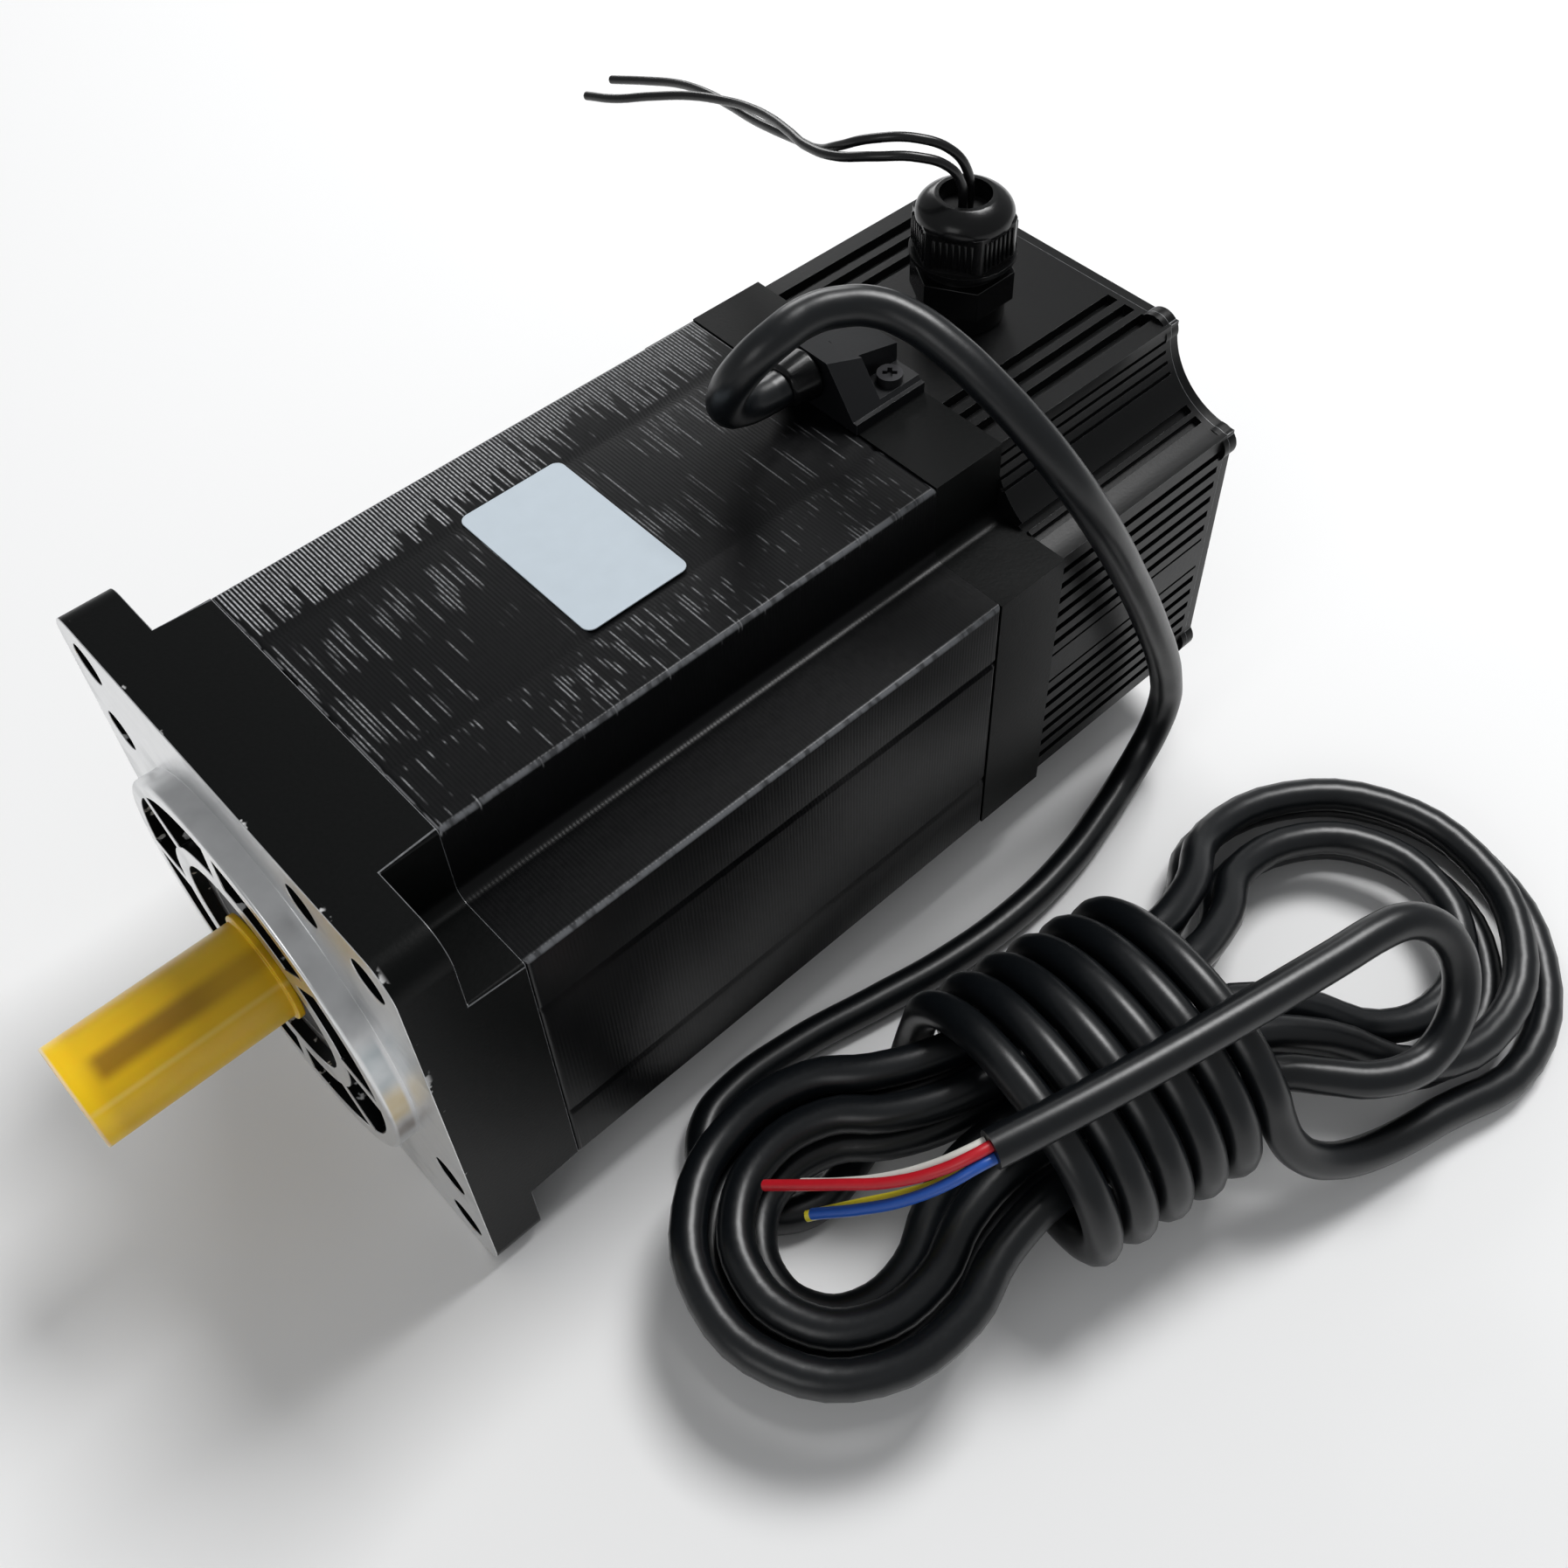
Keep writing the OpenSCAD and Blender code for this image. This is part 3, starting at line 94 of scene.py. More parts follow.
def add_node(material, kind, **inputs):
    """Adds a node to a material and sets or links its inputs by label."""
    node = material.node_tree.nodes.new(kind)
    for label, value in inputs.items():
        socket = node.inputs[label.replace("_", " ")]
        if isinstance(value, bpy.types.NodeSocket):
            material.node_tree.links.new(value, socket)
        else:
            socket.default_value = value
    return node


def surface(name, colour, rough, metal=0.0, shine=0.5, blotch=0.15, grain=600, relief=0.0):
    """Material with a fine grain in its tone, gloss and relief."""
    made = bpy.data.materials.new(name)
    made.use_nodes = True
    links = made.node_tree.links
    shader = made.node_tree.nodes["Principled BSDF"]
    shader.inputs["Metallic"].default_value = metal
    shader.inputs["Specular IOR Level"].default_value = shine
    place = add_node(made, "ShaderNodeTexCoord").outputs["Object"]
    grains = add_node(made, "ShaderNodeTexNoise", Vector=place, Scale=grain, Detail=4).outputs["Fac"]
    tone = add_node(made, "ShaderNodeMix")
    tone.data_type = "RGBA"
    tone.inputs[6].default_value = [c * (1 - blotch) for c in colour] + [1]
    tone.inputs[7].default_value = [min(1, c * (1 + blotch)) for c in colour] + [1]
    links.new(grains, tone.inputs[0])
    links.new(tone.outputs[2], shader.inputs["Base Color"])
    dull, dullest = rough * (1 - blotch), min(1, rough * (1 + blotch))
    gloss = add_node(made, "ShaderNodeMapRange", Value=grains, To_Min=dull, To_Max=dullest)
    links.new(gloss.outputs["Result"], shader.inputs["Roughness"])
    if relief:
        bump = add_node(made, "ShaderNodeBump", Strength=1, Distance=relief, Height=grains)
        links.new(bump.outputs["Normal"], shader.inputs["Normal"])
    return made


def strand(name, points_mm, diameter, material, steps, sides=4):
    """Smooth round cord through points given in millimetres."""
    line = bpy.data.curves.new(name, "CURVE")
    line.dimensions = "3D"
    line.resolution_u = steps
    line.bevel_depth = diameter / 2
    line.bevel_resolution = sides
    line.use_fill_caps = True
    spline = line.splines.new("BEZIER")
    spline.bezier_points.add(len(points_mm) - 1)
    for knot, place in zip(spline.bezier_points, points_mm):
        knot.co = [c / 1000 for c in place]
        knot.handle_left_type = knot.handle_right_type = "AUTO"
    piece = bpy.data.objects.new(name, line)
    bpy.context.scene.collection.objects.link(piece)
    line.materials.append(material)
    return piece


cable_jacket = surface("cable_jacket", (0.003, 0.004, 0.0052), 0.33, shine=0.46, grain=1100, relief=0.000012)

ROUTE = [
    (-131, 0, 62.5), (-127.5, 0, 62.5), (-120.2, 0.8, 64.4), (-114.9, 3.1, 69.2), (-112.9, 6.2, 75.8),
    (-114.9, 9.3, 82.5), (-120.2, 11.6, 87.2), (-127.5, 12.6, 89), (-133.4, 15, 89.2),
    (-138.2, 18.8, 88.7), (-141.8, 24.7, 86.9), (-144.3, 32.4, 83.5), (-146.6, 40.9, 78.3),
    (-149.3, 49.1, 71.4), (-152.7, 55.7, 62.8), (-157.1, 59.9, 52.8), (-162.7, 61.9, 41.3),
    (-169.1, 62.4, 28.7), (-175.8, 62.5, 15.5), (-182.1, 62.5, 2.2), (-188, 62.5, -11),
    (-192, 62.5, -22.5), (-193.6, 62.5, -32), (-191.5, 62.7, -40), (-186.5, 63.2, -46.5),
    (-179.5, 64.4, -50.2), (-171, 66.4, -51.2), (-152, 70.2, -51.2), (-132.5, 71.2, -51.2),
    (-112, 69.2, -51.2), (-95, 65.6, -51.2), (-74, 61, -51.2), (-56.5, 59.8, -51.2), (-49.3, 61.6, -51.2),
    (-43.7, 66.6, -51.2), (-41.2, 73.6, -51.2), (-42.2, 81, -51.2), (-46.6, 87, -51.2),
    (-53.3, 90.3, -51.2), (-60.2, 90.2, -51.2),
]
# The hank's sizes are in millimetres, in its own frame: x along it, y across and z up.
# A run is a strand that is laid up and down once, and run 3.5 is the innermost.
HANK_AT, HANK_TURN, FLOOR_Z = (-127, 118), math.radians(168), -55
RADIUS, INNER_RUN, RUN_IN, RUN_STEP = 3.8, 3.5, 2.15, 8.9
WAIST_BACK, LEFT_LIFT, LIFT_FROM, LIFT_OVER = 21, 9, 26, 50
SLOPE, SLOPE_STEP = 29.5, 4.2
RIGHT_HALF, RIGHT_HALF_STEP, RIGHT_REACH, RIGHT_REACH_STEP = 22, 11.5, 95, 13
LEFT_HALF, LEFT_HALF_STEP, LEFT_REACH, LEFT_REACH_STEP = 13.5, 8.9, 71.5, 9
WRAP_START, WRAP_PITCH, WRAP_HALF_W, WRAP_HALF_H = -46, 8.4, 28.2, 20.9
WRAP_MID_H, WRAP_MID_W = RADIUS + WRAP_HALF_H, -2.1


def lerp(a, b, t):
    return a + (b - a) * t


def ease(t):
    t = min(1, max(0, t))
    return t * t * (3 - 2 * t)


def bezier(a, b, c, d, t):
    return (1 - t) ** 3 * a + 3 * (1 - t) ** 2 * t * b + 3 * (1 - t) * t * t * c + t ** 3 * d


def joined(a, way_a, b, way_b, grip_a, grip_b, count):
    """Points between a and b on a curve that leaves along way_a and arrives along way_b."""
    start, end = a + grip_a * Vector(way_a).normalized(), b - grip_b * Vector(way_b).normalized()
    return [bezier(a, start, end, b, i / count) for i in range(1, count)]


def run_lift(x):
    """Height of a run: lifted through the wraps at the waist, low in its loops."""
    u = x + WAIST_BACK
    low = RADIUS + (LEFT_LIFT if u < 0 else 0)
    return lerp(WRAP_MID_H - RUN_STEP / 2, low, ease((abs(u) - LIFT_FROM) / LIFT_OVER))


def run_point(p):
    """Point of the runs that are laid up and down, with a fold at each whole number and a half."""
    s = abs(p - INNER_RUN) / 2
    waist = RUN_IN + RUN_STEP * s
    to_fold = 2 * abs(p - math.floor(p) - 0.5)
    right, side = math.cos(math.pi * p) > 0, 1 if math.sin(math.pi * p) >= 0 else -1
    level = SLOPE - SLOPE_STEP * s
    half = RIGHT_HALF + RIGHT_HALF_STEP * s if right else LEFT_HALF + LEFT_HALF_STEP * s
    reach = RIGHT_REACH + RIGHT_REACH_STEP * s if right else LEFT_REACH + LEFT_REACH_STEP * s
    spread = reach - half - level
    out = min(1, max(0, 3 * to_fold - 0.5) / 1.25)
    bend = math.radians(90 * max(0, (to_fold - 7 / 12) * 12 / 5))
    u = level * min(1, 6 * to_fold) + bezier(0, spread / 2, spread / 2, spread, out) + half * math.sin(bend)
    w = half * math.cos(bend) if bend > 0 else bezier(waist, waist, half, half, out)
    x = (u if right else -u) - WAIST_BACK
    return Vector((x, side * w, run_lift(x) + RUN_STEP * ease(p - INNER_RUN + 0.5)))


def wrap_point(q):
    """Point of the wraps round the runs' middle."""
    turn = 2 * math.pi * q
    return Vector((
        WRAP_START + WRAP_PITCH * q, WRAP_MID_W + WRAP_HALF_W * math.sin(turn),
        WRAP_MID_H - WRAP_HALF_H * math.cos(turn),
    ))


# The cable comes up from the floor into the wraps, goes on into the runs, and ends
# in a half turn on the right and one straight strand back over the top.
wraps = [wrap_point(0.25 + i / 24) for i in range(132)]
runs = [run_point(-0.25 + i / 12) for i in range(94)]
entry_way = Vector((math.cos(math.radians(25)), math.sin(math.radians(25)), 0))
entry_foot = Vector((wraps[0].x, wraps[0].y, RADIUS)) - 19 * entry_way
tail_in, tail_low = Vector((0, -19.8, 28.4)), Vector((34, -35.5, 27))
tail_high, tail_end = Vector((34, -17, 53)), Vector((-56, -14, 52))
middle, reach = (tail_low + tail_high) / 2, (tail_high - tail_low).length / 2
up = (tail_high - tail_low).normalized()
tail_turn = [
    middle - reach * math.cos(math.pi * i / 10) * up + Vector((reach * math.sin(math.pi * i / 10), 0, 0))
    for i in range(11)
]
line = [entry_foot - 2 * RADIUS * entry_way, entry_foot]
line += joined(entry_foot, entry_way, wraps[0], wraps[1] - wraps[0], 11, 11, 8) + wraps
line += joined(wraps[-1], wraps[-1] - wraps[-2], runs[0], runs[1] - runs[0], 17, 26, 8) + runs
line += joined(runs[-1], (1, 0, 0), tail_in, (1, 0, 0), 2 * RADIUS, 2 * RADIUS, 3) + [tail_in]
line += joined(tail_in, (1, 0, 0), tail_low, (1, 0, 0), 14, 14, 4) + tail_turn
line += joined(tail_high, (-1, 0, 0), tail_end, (-1, 0.1, -0.05), 30, 30, 8) + [tail_end]
hank_line = [
    (
        HANK_AT[0] + q.x * math.cos(HANK_TURN) - q.y * math.sin(HANK_TURN),
        HANK_AT[1] + q.x * math.sin(HANK_TURN) + q.y * math.cos(HANK_TURN),
        q.z + FLOOR_Z,
    )
    for q in line
]

cable = strand("motor_cable_jacket", ROUTE + [hank_line[0]], CABLE_D, cable_jacket, 10, 6)
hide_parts("motor_cable")
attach(cable, "motor")
hank = strand("motor_cable_hank_jacket", hank_line, CABLE_D, cable_jacket, 4, 5)
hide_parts("motor_cable_hank")
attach(hank, "motor")

# Cores. Four insulated cores, 2.2 mm across, come out of the cut end of the cable's
# jacket and hang in a loose bunch of white, red, blue and yellow, their ends bare.
for name, colour, core_route in (
    ("white", (0.72, 0.71, 0.66), ((-69.8, 118.4, -3), (-66.7, 117.3, -3.6), (-61.5, 113.6, -7.9),
        (-56, 108, -13.5), (-51, 101, -19.5), (-47, 94, -25))),
    ("red", (0.52, 0.012, 0.022), ((-69.3, 120, -1.4), (-66, 119, -1.8), (-61, 116, -5),
        (-55, 110, -10.5), (-49, 101, -17), (-42, 89, -26))),
    ("blue", (0.015, 0.09, 0.42), ((-68.8, 121.6, -3), (-65.6, 120.6, -3.3), (-60.5, 118, -7),
        (-55, 113.5, -12.5), (-50, 107.5, -18.5), (-44.5, 99.5, -25.5))),
    ("yellow", (0.72, 0.62, 0.04), ((-69.3, 120, -4.6), (-66.2, 119, -5.4), (-61.4, 116.2, -10.6),
        (-56.5, 111, -17), (-51, 104.5, -23.5), (-44.5, 98, -29))),
):
    paint = surface(name + "_insulation", colour, 0.35, shine=0.5, blotch=0.08)
    core = strand("core_" + name + "_insulated", core_route, 0.0022, paint, 8)
    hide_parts("core_" + name)
    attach(core, "motor")

# Brake leads. Two thin black wires come up out of the gland's seal, cross each other
# and arch away behind the motor, their ends cut off square.
lead_skin = surface("lead_skin", (0.004, 0.004, 0.0045), 0.28, shine=0.45)
for name, lead_route in (
    ("a", ((-181.2, 0.4, 79), (-181.2, 0.4, 82.5), (-180.8, 0, 86), (-178.3, -1.5, 90.2),
        (-173.5, -5.5, 92.6), (-168, -12, 92.2), (-165.3, -20, 89.8), (-166, -29, 87.5), (-169, -38, 85.6),
        (-172, -47, 83.4), (-174, -56, 81), (-175, -66, 78), (-173.5, -76, 75.5), (-170, -86, 72.5),
        (-166.5, -95, 69.5), (-165, -104, 67))),
    ("b", ((-184, -0.4, 79), (-184, -0.4, 82.5), (-183.5, -0.8, 87), (-180.8, -2.8, 92),
        (-175.5, -7.5, 95), (-169.9, -14.5, 94.2), (-168, -22, 90), (-169.5, -30, 85), (-171.6, -39, 82.2),
        (-173.2, -48, 79.8), (-175.2, -57, 77.4), (-177.6, -67, 75.2), (-179.5, -78, 73), (-180.5, -89, 70),
        (-179.5, -100, 66.5), (-177.5, -111, 63))),
):
    lead = strand("brake_lead_" + name + "_insulated", lead_route, 0.002, lead_skin, 8)
    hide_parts("brake_lead_" + name)
    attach(lead, "motor")

# Front cap. A die-cast aluminium cap with the square flange, painted satin black all
# over and then faced on a lathe, which leaves the flange's face, the pilot and the
# edges of its ribs bright and the pockets between them black.
cast_paint = surface("cast_paint", (0.0026, 0.003, 0.003), 0.34, shine=0.11, grain=1400, relief=0.00002)
turned_metal = surface("turned_metal", (0.76, 0.765, 0.77), 0.3, metal=1.0, blotch=0.08, grain=300)


def calc(material, operation, a, b=0.0):
    """Result of a sum, product or other operation on two sockets or numbers."""
    step = add_node(material, "ShaderNodeMath")
    step.operation = operation
    for socket, value in zip(step.inputs, (a, b)):
        if isinstance(value, bpy.types.NodeSocket):
            material.node_tree.links.new(value, socket)
        else:
            socket.default_value = value
    return step.outputs["Value"]


def times(material, first, *rest):
    """Product of two or more sockets or numbers."""
    for factor in rest:
        first = calc(material, "MULTIPLY", first, factor)
    return first


def between(material, value, low, high, to_low=0.0, to_high=1.0):
    """Number that eases from to_low to to_high as value goes from low to high."""
    eased = add_node(
        material, "ShaderNodeMapRange", Value=value,
        From_Min=low, From_Max=high, To_Min=to_low, To_Max=to_high,
    )
    eased.interpolation_type = "SMOOTHSTEP"
    return eased.outputs["Result"]


def places(material):
    """Sockets of the object's coordinates: the vector, and its x, y and z."""
    vector = add_node(material, "ShaderNodeTexCoord").outputs["Object"]
    parts = add_node(material, "ShaderNodeSeparateXYZ", Vector=vector)
    return vector, *parts.outputs


def noise(material, vector, scale, detail=2):
    """Cloudy number from 0 to 1 with scale clouds per metre along x, y and z."""
    stretched = add_node(material, "ShaderNodeMapping", Vector=vector, Scale=scale).outputs["Vector"]
    return add_node(material, "ShaderNodeTexNoise", Vector=stretched, Scale=1.0, Detail=detail).outputs["Fac"]


def tint(material, amount, colour):
    """Lays a colour over the material's own where amount is near 1."""
    shader = material.node_tree.nodes["Principled BSDF"]
    below = shader.inputs["Base Color"].links[0].from_socket
    mix = add_node(material, "ShaderNodeMix")
    mix.data_type = "RGBA"
    mix.inputs[7].default_value = (*colour, 1)
    material.node_tree.links.new(amount, mix.inputs[0])
    material.node_tree.links.new(below, mix.inputs[6])
    material.node_tree.links.new(mix.outputs[2], shader.inputs["Base Color"])


def relief(material, height, depth):
    """Adds a height to the material's relief."""
    shader = material.node_tree.nodes["Principled BSDF"]
    bump = add_node(material, "ShaderNodeBump", Strength=1.0, Distance=depth, Height=height)
    if shader.inputs["Normal"].links:
        material.node_tree.links.new(shader.inputs["Normal"].links[0].from_socket, bump.inputs["Normal"])
    material.node_tree.links.new(bump.outputs["Normal"], shader.inputs["Normal"])


def along(material, y, z, turn, half_width, soft):
    """Soft stripe along the motor on the side that faces turn degrees from +Z towards +Y."""
    over, up = math.sin(math.radians(turn)), math.cos(math.radians(turn))
    aside = calc(material, "SUBTRACT", times(material, y, up), times(material, z, over))
    aside = calc(material, "ABSOLUTE", aside)
    facing = calc(material, "ADD", times(material, y, over), times(material, z, up))
    stripe = between(material, aside, half_width - soft, half_width + soft, 1.0, 0.0)
    return times(material, stripe, between(material, facing, 0.0, 0.003))


vector, x, y, z = places(turned_metal)
rings = add_node(turned_metal, "ShaderNodeTexWave", Vector=vector, Scale=0.314 / 0.0006, Distortion=0.4)
rings.wave_type = "RINGS"
rings.rings_direction = "X"
relief(turned_metal, rings.outputs["Fac"], 0.000005)
stain_and_reflection_clouds = noise(turned_metal, vector, (60, 60, 60), 3)
tint(turned_metal, between(turned_metal, stain_and_reflection_clouds, 0.5, 0.7, 0.0, 0.5), (0.4, 0.41, 0.42))
# The pilot's side has blue-grey, warm and brownish patches painted on, painted reflections of the
# surroundings and the yellow sleeve.
on_pilot = times(
    turned_metal, between(turned_metal, x, 0.0004, 0.0012),
    between(turned_metal, x, 0.004, 0.0046, 1.0, 0.0), between(turned_metal, stain_and_reflection_clouds, 0.3, 0.6, 0.25, 0.7),
)
for turn, half_width, colour in (
    (73, 0.0055, (0.2, 0.27, 0.3)), (88, 0.005, (0.6, 0.45, 0.18)), (101, 0.003, (0.3, 0.22, 0.17)),
):
    painted_reflection = times(turned_metal, along(turned_metal, y, z, turn, half_width, 0.0025), on_pilot)
    tint(turned_metal, painted_reflection, colour)
vector, x, y, z = places(cast_paint)
nicks = between(cast_paint, noise(cast_paint, vector, (260, 260, 260), 3), 0.62, 0.67)
at_face = between(cast_paint, x, -0.0014, -0.0003)
tint(cast_paint, times(cast_paint, nicks, at_face), (0.55, 0.55, 0.55))


# Edges sharper than EDGE_ANGLE are rounded, and shading runs smoothly up to FACE_ANGLE.
EDGE_ANGLE, FACE_ANGLE = math.radians(32), math.radians(38)
HALF_FRAME, TURNED_R = 0.055, 0.0418


def smooth(piece):
    """Shades the active piece smooth over its rounded edges, with its flats kept flat."""
    bpy.ops.object.shade_smooth_by_angle(angle=FACE_ANGLE)
    flats = piece.modifiers.new("flats", "WEIGHTED_NORMAL")
    flats.keep_sharp = True
    bpy.ops.object.modifier_apply(modifier="flats")


def rounded(node, width, body, material, segments=2, long_width=0.0, edge_highlight=None):
    """Copy of a CAD node with its sharp edges rounded, which stands for the node.

    long_width rounds the outer edges that run along the motor more than the rest,
    and the last argument is a paler paint on the rounded edges, a painted highlight.
    """
    piece = bpy.data.objects.new(node + "_finished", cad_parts[node].data.copy())
    bpy.context.scene.collection.objects.link(piece)
    bpy.ops.object.select_all(action="DESELECT")
    piece.select_set(True)
    bpy.context.view_layer.objects.active = piece
    bpy.ops.mesh.customdata_custom_splitnormals_clear()
    bpy.ops.object.mode_set(mode="EDIT")
    bpy.ops.mesh.select_all(action="SELECT")
    bpy.ops.mesh.remove_doubles(threshold=0.000002)
    bpy.ops.mesh.dissolve_limited(angle_limit=math.radians(0.6))
    if long_width:
        bpy.ops.mesh.select_mode(type="EDGE")
        bpy.ops.mesh.select_all(action="DESELECT")
        bpy.ops.mesh.edges_select_sharp(sharpness=EDGE_ANGLE)
        bpy.ops.object.mode_set(mode="OBJECT")
        for edge in piece.data.edges:
            a, b = (piece.data.vertices[i].co for i in edge.vertices)
            lengthwise = abs(a.x - b.x) > 0.95 * (a - b).length
            edge.select = edge.select and lengthwise and math.hypot(a.y, a.z) > HALF_FRAME
        for corner in piece.data.vertices:
            corner.select = False
        bpy.ops.object.mode_set(mode="EDIT")
        bpy.ops.mesh.bevel(offset=long_width, segments=4, clamp_overlap=True)
    bpy.ops.object.mode_set(mode="OBJECT")
    edges = piece.modifiers.new("edges", "BEVEL")
    edges.width = width
    edges.segments = segments
    edges.limit_method = "ANGLE"
    edges.angle_limit = EDGE_ANGLE
    piece.data.materials.clear()
    piece.data.materials.append(material)
    if edge_highlight:
        piece.data.materials.append(edge_highlight)
        edges.material = 1
    bpy.ops.object.modifier_apply(modifier="edges")
    smooth(piece)
    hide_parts(node)
    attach(piece, body)
    return piece


def face_material(piece, material, chosen):
    """Gives a material to the faces that chosen(centre, normal) picks."""
    piece.data.materials.append(material)
    last = len(piece.data.materials) - 1
    for face in piece.data.polygons:
        if chosen(face.center, face.normal):
            face.material_index = last


# Paler paint for the rounded edges: a painted highlight where the edges catch light.
edge_highlight_paint = surface("edge_highlight_paint", (0.12, 0.124, 0.13), 0.3, shine=0.5, blotch=0.6, grain=700)
front_cap = rounded(
    "front_flange", 0.0003, "motor", cast_paint, long_width=0.0008, edge_highlight=edge_highlight_paint,
)
face_material(
    front_cap, turned_metal,
    lambda centre, normal: centre.x > -0.0002
    and (normal.x > 0.3 or math.hypot(centre.y, centre.z) > TURNED_R),
)

# Stator. Laminations pressed into a stack under thin black paint. Their edges show
# bright in short streaks on the top and bottom, partly scraped by handling and partly
# painted highlight where the sheet edges catch light, and two shallow channels run
# along each side where the stack is welded. The coils are inside.
stack_paint = surface("stack_paint", (0.0026, 0.0028, 0.0032), 0.3, shine=0.18, grain=900)
SHEET, CHANNEL_AT, CHANNEL_W, CHANNEL_DEPTH = 0.0008, 0.0195, 0.0024, 0.0006
stack_low, stack_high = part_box("stator_core")
stack = rounded("stator_core", 0.0002, "motor", stack_paint, long_width=0.0017)
bpy.ops.object.mode_set(mode="EDIT")
for axis in (1, 2):
    for middle in (-CHANNEL_AT, CHANNEL_AT):
        for offset in (-CHANNEL_W / 2, 0, CHANNEL_W / 2):
            cut_at, cut_way = Vector((0, 0, 0)), Vector((0, 0, 0))
            cut_at[axis], cut_way[axis] = middle + offset, 1
            bpy.ops.mesh.select_all(action="SELECT")
            bpy.ops.mesh.bisect(plane_co=cut_at, plane_no=cut_way)
bpy.ops.object.mode_set(mode="OBJECT")
for corner in stack.data.vertices:
    for axis, out in ((1, 2), (2, 1)):
        if abs(abs(corner.co[axis]) - CHANNEL_AT) < 0.00001 and abs(corner.co[out]) > stack_high[2] - 0.0005:
            corner.co[out] -= math.copysign(CHANNEL_DEPTH, corner.co[out])
smooth(stack)
# The channels part each face into three strips. Every gap between two sheets has its
# own streaks: close together in the far strip, long and few in the middle one, and
# short in the near one. The far strip's streaks are also more and brighter, painted
# highlight from the light behind. They fade towards the rear.
vector, x, y, z = places(stack_paint)
across, upright = calc(stack_paint, "ABSOLUTE", y), calc(stack_paint, "ABSOLUTE", z)
near_strip = between(stack_paint, y, CHANNEL_AT - 0.001, CHANNEL_AT + 0.001)
far_strip = between(stack_paint, y, -CHANNEL_AT + 0.001, -CHANNEL_AT - 0.001)
sheet_number = calc(stack_paint, "FLOOR", calc(stack_paint, "DIVIDE", x, SHEET))
sheet_wave = calc(stack_paint, "COSINE", times(stack_paint, x, 2 * math.pi / SHEET))
sheet_gap = between(stack_paint, sheet_wave, 0.0, -0.7)
streaks_per_metre = calc(stack_paint, "ADD", 60.0, times(stack_paint, near_strip, 70.0))
own_line = add_node(
    stack_paint, "ShaderNodeCombineXYZ", X=times(stack_paint, sheet_number, 3.7),
    Y=times(stack_paint, y, streaks_per_metre), Z=times(stack_paint, z, 90.0),
).outputs["Vector"]
by_sheet = noise(stack_paint, own_line, (1, 1, 1), 1)
patches = noise(stack_paint, vector, (38, 60, 60), 2)
dots = noise(stack_paint, vector, (2400, 1400, 1400), 1)
# More and brighter streaks in the far strip, towards the front: painted highlight.
painted_far_highlight = times(
    stack_paint, far_strip,
    calc(
        stack_paint, "ADD", between(stack_paint, y, -0.02, -0.036, 0.12, 0.4),
        between(stack_paint, x, stack_low[0] + 0.02, stack_high[0] - 0.02, -0.1, 0.06),
    ),
)
level = calc(
    stack_paint, "ADD", calc(stack_paint, "ADD", by_sheet, painted_far_highlight),
    times(stack_paint, calc(stack_paint, "SUBTRACT", patches, 0.5), 0.5),
)
from_channel = calc(stack_paint, "ABSOLUTE", calc(stack_paint, "SUBTRACT", across, CHANNEL_AT))
on_face = between(stack_paint, upright, stack_high[2] - 0.0025, stack_high[2] - 0.0005)
streaks = times(
    stack_paint, between(stack_paint, level, 0.56, 0.68), sheet_gap,
    between(stack_paint, dots, 0.35, 0.6, 0.45, 1.0),
    calc(stack_paint, "ADD", 0.5, times(stack_paint, far_strip, 0.5)),
    between(stack_paint, from_channel, CHANNEL_W / 2, CHANNEL_W / 2 + 0.0012), on_face,
    between(stack_paint, x, stack_low[0] + 0.02, stack_high[0] - 0.04, 0.5, 1.0),
)
first_sheet = times(
    stack_paint, between(stack_paint, x, stack_high[0] - 0.0006, stack_high[0] - 0.0002),
    between(stack_paint, noise(stack_paint, vector, (200, 200, 200), 2), 0.42, 0.55), on_face,
)
tint(stack_paint, calc(stack_paint, "MAXIMUM", streaks, first_sheet), (0.42, 0.425, 0.44))
# The long edges beside the corner notches are painted grey, a painted highlight along their rounded edges.
NOTCH = 0.01885
notch_edge = stack_high[1] - NOTCH
for aside, out in ((across, upright), (upright, across)):
    by_notch = between(stack_paint, aside, notch_edge - 0.0011, notch_edge - 0.0004)
    by_face = between(stack_paint, out, stack_high[1] - 0.0014, stack_high[1] - 0.0004)
    painted_edge_sheen = between(stack_paint, noise(stack_paint, vector, (500, 160, 160), 2), 0.36, 0.56, 0.35, 1.0)
    tint(stack_paint, times(stack_paint, by_notch, by_face, painted_edge_sheen), (0.12, 0.124, 0.132))
relief(stack_paint, times(stack_paint, sheet_wave, by_sheet), 0.00001)


def coat(material, *names):
    """Gives a material to CAD nodes that stay as they are."""
    for name in names:
        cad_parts[name].data.materials.clear()
        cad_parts[name].data.materials.append(material)


copper = surface("enamelled_copper", (0.38, 0.12, 0.04), 0.35, metal=0.6, blotch=0.3, grain=1200)
coat(copper, "stator_windings")

# Rear cap and tie bolts. The rear cap is cast and painted like the front one, and
# four long bolts from the flange's counterbores clamp both caps to the stack.
rounded("rear_end_cap", 0.0003, "motor", cast_paint, long_width=0.0008, edge_highlight=edge_highlight_paint)
black_steel = surface("black_steel", (0.035, 0.035, 0.038), 0.38, metal=0.7, grain=800)
coat(black_steel, "tie_bolts")

# Rotor. Two toothed stacks of bare electrical steel on the shaft with a disc magnet
# between them, one stack turned by half a tooth.
bare_steel = surface("bare_steel", (0.4, 0.4, 0.41), 0.35, metal=1.0, grain=700)
coat(bare_steel, "rotor_front_stack", "rotor_rear_stack")
magnet_grey = surface("magnet_grey", (0.06, 0.06, 0.065), 0.5, metal=0.3)
coat(magnet_grey, "rotor_magnet")

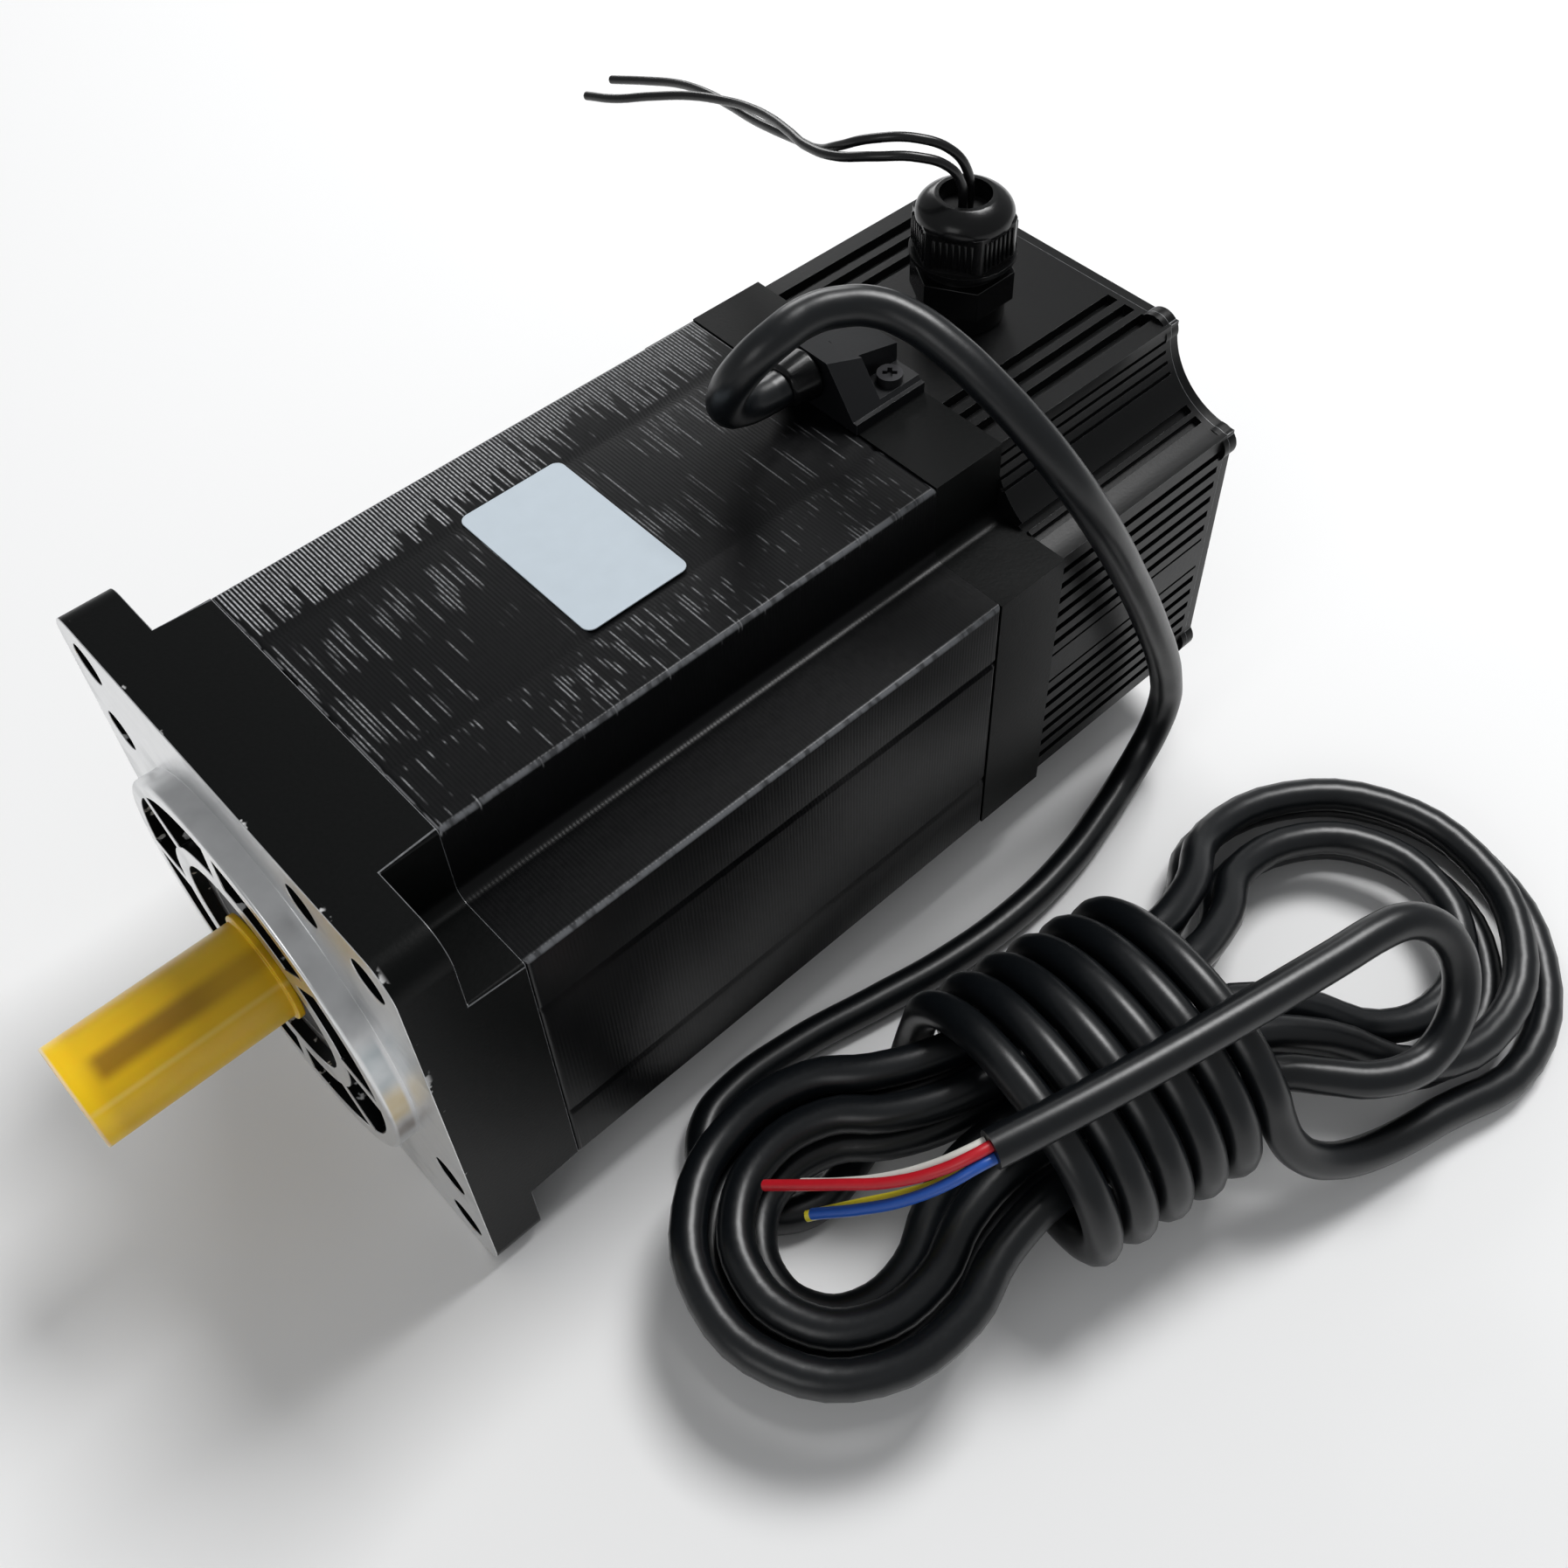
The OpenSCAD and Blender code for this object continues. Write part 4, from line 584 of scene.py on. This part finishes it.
# Shaft and its guard. The shaft is ground steel, and a soft tube of see-through
# yellow plastic with a small rim at its foot keeps it from knocks until it is fitted.
ground_steel = surface("ground_steel", (0.6, 0.6, 0.6), 0.22, metal=1.0, blotch=0.08, grain=500)
rounded("motor_shaft", 0.0002, "rotor", ground_steel)
yellow_plastic = surface("yellow_plastic", (0.95, 0.6, 0.004), 0.3, shine=0.45, blotch=0.04, grain=200)
yellow_shader = yellow_plastic.node_tree.nodes["Principled BSDF"]
yellow_shader.inputs["Subsurface Weight"].default_value = 0.35
yellow_shader.inputs["Subsurface Scale"].default_value = 0.004
shaft_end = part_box("motor_shaft")[1][0]
vector, x, y, z = places(yellow_plastic)
# Through the plastic the shaft shows dark as far as its end, and the keyway shows
# darker still. A stripe along the top is painted lighter, painted light on the side
# that faces up, and a thin pale line along the near side is a painted highlight.
over_shaft = between(yellow_plastic, x, shaft_end - 0.0025, shaft_end + 0.0012, 1.0, 0.0)
cloudy = noise(yellow_plastic, vector, (40, 120, 120), 2)
seen_shaft = times(yellow_plastic, over_shaft, between(yellow_plastic, cloudy, 0.2, 0.8, 0.3, 0.5))
tint(yellow_plastic, seen_shaft, (0.5, 0.24, 0.003))
# Lighter stripe along the top: painted light.
painted_top_light = times(yellow_plastic, along(yellow_plastic, y, z, -5, 0.003, 0.002), 0.5)
tint(yellow_plastic, painted_top_light, (0.95, 0.56, 0.01))
keyway = times(
    yellow_plastic, along(yellow_plastic, y, z, 25, 0.0024, 0.0014),
    between(yellow_plastic, x, 0.009, 0.024, 0.4, 0.8),
    between(yellow_plastic, x, shaft_end - 0.004, shaft_end - 0.001, 1.0, 0.0),
)
tint(yellow_plastic, keyway, (0.25, 0.115, 0.001))
# Thin pale line along the near side: a painted highlight.
painted_highlight_line = times(yellow_plastic, along(yellow_plastic, y, z, 59, 0.0005, 0.0005), 0.35)
tint(yellow_plastic, painted_highlight_line, (0.9, 0.68, 0.22))
sleeve_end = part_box("shaft_sleeve")[1][0]
tint(yellow_plastic, between(yellow_plastic, x, sleeve_end - 0.0008, sleeve_end - 0.0003), (0.85, 0.66, 0.42))
rounded("shaft_sleeve", 0.0003, "sleeve", yellow_plastic, 3)

# Oil seal. A pressed steel case in the hub ring holds a moulded rubber lip, which runs
# on the shaft and keeps the front bearing's grease in.
pressed_steel = surface("pressed_steel", (0.42, 0.42, 0.42), 0.3, metal=1.0)
rounded("oil_seal_case", 0.0003, "motor", pressed_steel)
rubber = surface("rubber", (0.006, 0.006, 0.0065), 0.5, shine=0.3, grain=1000, relief=0.00001)
rounded("oil_seal_lip", 0.0003, "motor", rubber)

# Bearings. Two deep-groove ball bearings of hard polished steel with brass cages,
# and a spring washer behind the rear one.
bearing_steel = surface("bearing_steel", (0.62, 0.62, 0.63), 0.12, metal=1.0, blotch=0.05)
cage_brass = surface("cage_brass", (0.6, 0.42, 0.15), 0.28, metal=1.0)
for end in ("front", "rear"):
    coat(bearing_steel, end + "_bearing_outer_ring", end + "_bearing_inner_ring", end + "_bearing_balls")
    coat(cage_brass, end + "_bearing_cage")
coat(pressed_steel, "wave_washer")

# Brake. Springs press the armature on a lined disc that turns with the shaft, and
# the coil in the magnet body draws it back. It sits inside the finned housing.
lining = surface("lining", (0.1, 0.085, 0.07), 0.8, blotch=0.3)
plated_steel = surface("plated_steel", (0.36, 0.36, 0.37), 0.34, metal=1.0)
coat(plated_steel, "brake_friction_plate", "brake_magnet_body", "brake_armature")
coat(lining, "brake_disc")
coat(ground_steel, "brake_hub", "brake_hub_key", "brake_spacers")
coat(black_steel, "hub_retaining_ring", "brake_screws")
coat(copper, "brake_coil")
coat(bearing_steel, "brake_springs")

# Brake housing and rear cover. An extruded aluminium ring with fine fins, painted
# satin black, and a flat plate of the same outline that closes it behind.
housing_paint = surface(
    "housing_paint", (0.0028, 0.003, 0.0032), 0.36, shine=0.18, grain=1500, relief=0.00002,
)
rounded("brake_housing", 0.0002, "motor", housing_paint, edge_highlight=edge_highlight_paint)
rounded("rear_cover", 0.0003, "motor", housing_paint, edge_highlight=edge_highlight_paint)
coat(black_steel, "housing_screws")

# Cable gland. Black nylon: a lock collar and a hexagon body on the housing, and a
# domed nut with ribbed faces that squeezes the rubber seal round the brake leads.
nylon = surface("black_nylon", (0.003, 0.0032, 0.0034), 0.22, shine=0.3, grain=900)
rounded("gland_collar", 0.0005, "motor", nylon)
rounded("gland_body", 0.0004, "motor", nylon)
coat(rubber, "gland_seal")
nut = rounded("gland_nut", 0.0005, "motor", nylon, 3)
GLAND_X, NUT_R, RIBS_Z = -0.1825, 0.0113, 0.0742
RIBS_PER_FACE, RIB_PITCH, RIB_SIZE = 7, 0.0013, (0.0008, 0.0006, 0.0066)
FLAT_R = NUT_R * math.cos(math.radians(30))
ribs = []
for face in range(6):
    turn = math.radians(30 + 60 * face)
    for step in range(RIBS_PER_FACE):
        aside = (step - RIBS_PER_FACE // 2) * RIB_PITCH
        bpy.ops.object.select_all(action="DESELECT")
        bpy.ops.mesh.primitive_cube_add(
            size=1, rotation=(0, 0, turn),
            location=(
                GLAND_X + FLAT_R * math.cos(turn) - aside * math.sin(turn),
                FLAT_R * math.sin(turn) + aside * math.cos(turn),
                RIBS_Z,
            ),
        )
        rib = bpy.context.object
        rib.scale = RIB_SIZE
        bpy.ops.object.transform_apply(location=True, rotation=True, scale=True)
        bpy.ops.object.mode_set(mode="EDIT")
        bpy.ops.mesh.select_all(action="SELECT")
        bpy.ops.mesh.bevel(offset=0.0002, segments=2)
        bpy.ops.object.mode_set(mode="OBJECT")
        ribs.append(rib)
bpy.ops.object.select_all(action="DESELECT")
for rib in ribs:
    rib.data.materials.append(nylon)
    rib.select_set(True)
nut.select_set(True)
bpy.context.view_layer.objects.active = nut
bpy.ops.object.join()
bpy.ops.object.shade_smooth_by_angle(angle=FACE_ANGLE)

# Cable outlet. A moulded wedge screwed to the rear cap over the way out of the
# windings, with a rounded rubber stub in front that the motor cable leaves through.
outlet_plastic = surface(
    "outlet_plastic", (0.005, 0.0054, 0.0065), 0.4, shine=0.3, grain=1200, relief=0.00002,
)
rounded("cable_outlet_cover", 0.0003, "motor", outlet_plastic, edge_highlight=edge_highlight_paint)
coat(black_steel, "outlet_screws")
rounded("strain_relief", 0.0014, "motor", nylon, 4)

# Sticker. A blank pale paper sticker with round corners, 40 mm by 24 mm, stuck on
# the stator's top between the front cap and the cable's loop.
sticker = surface("sticker", (0.48, 0.545, 0.6), 0.5, shine=0.3, blotch=0.04, grain=250)
rounded("label_plate", 0.00008, "motor", sticker)
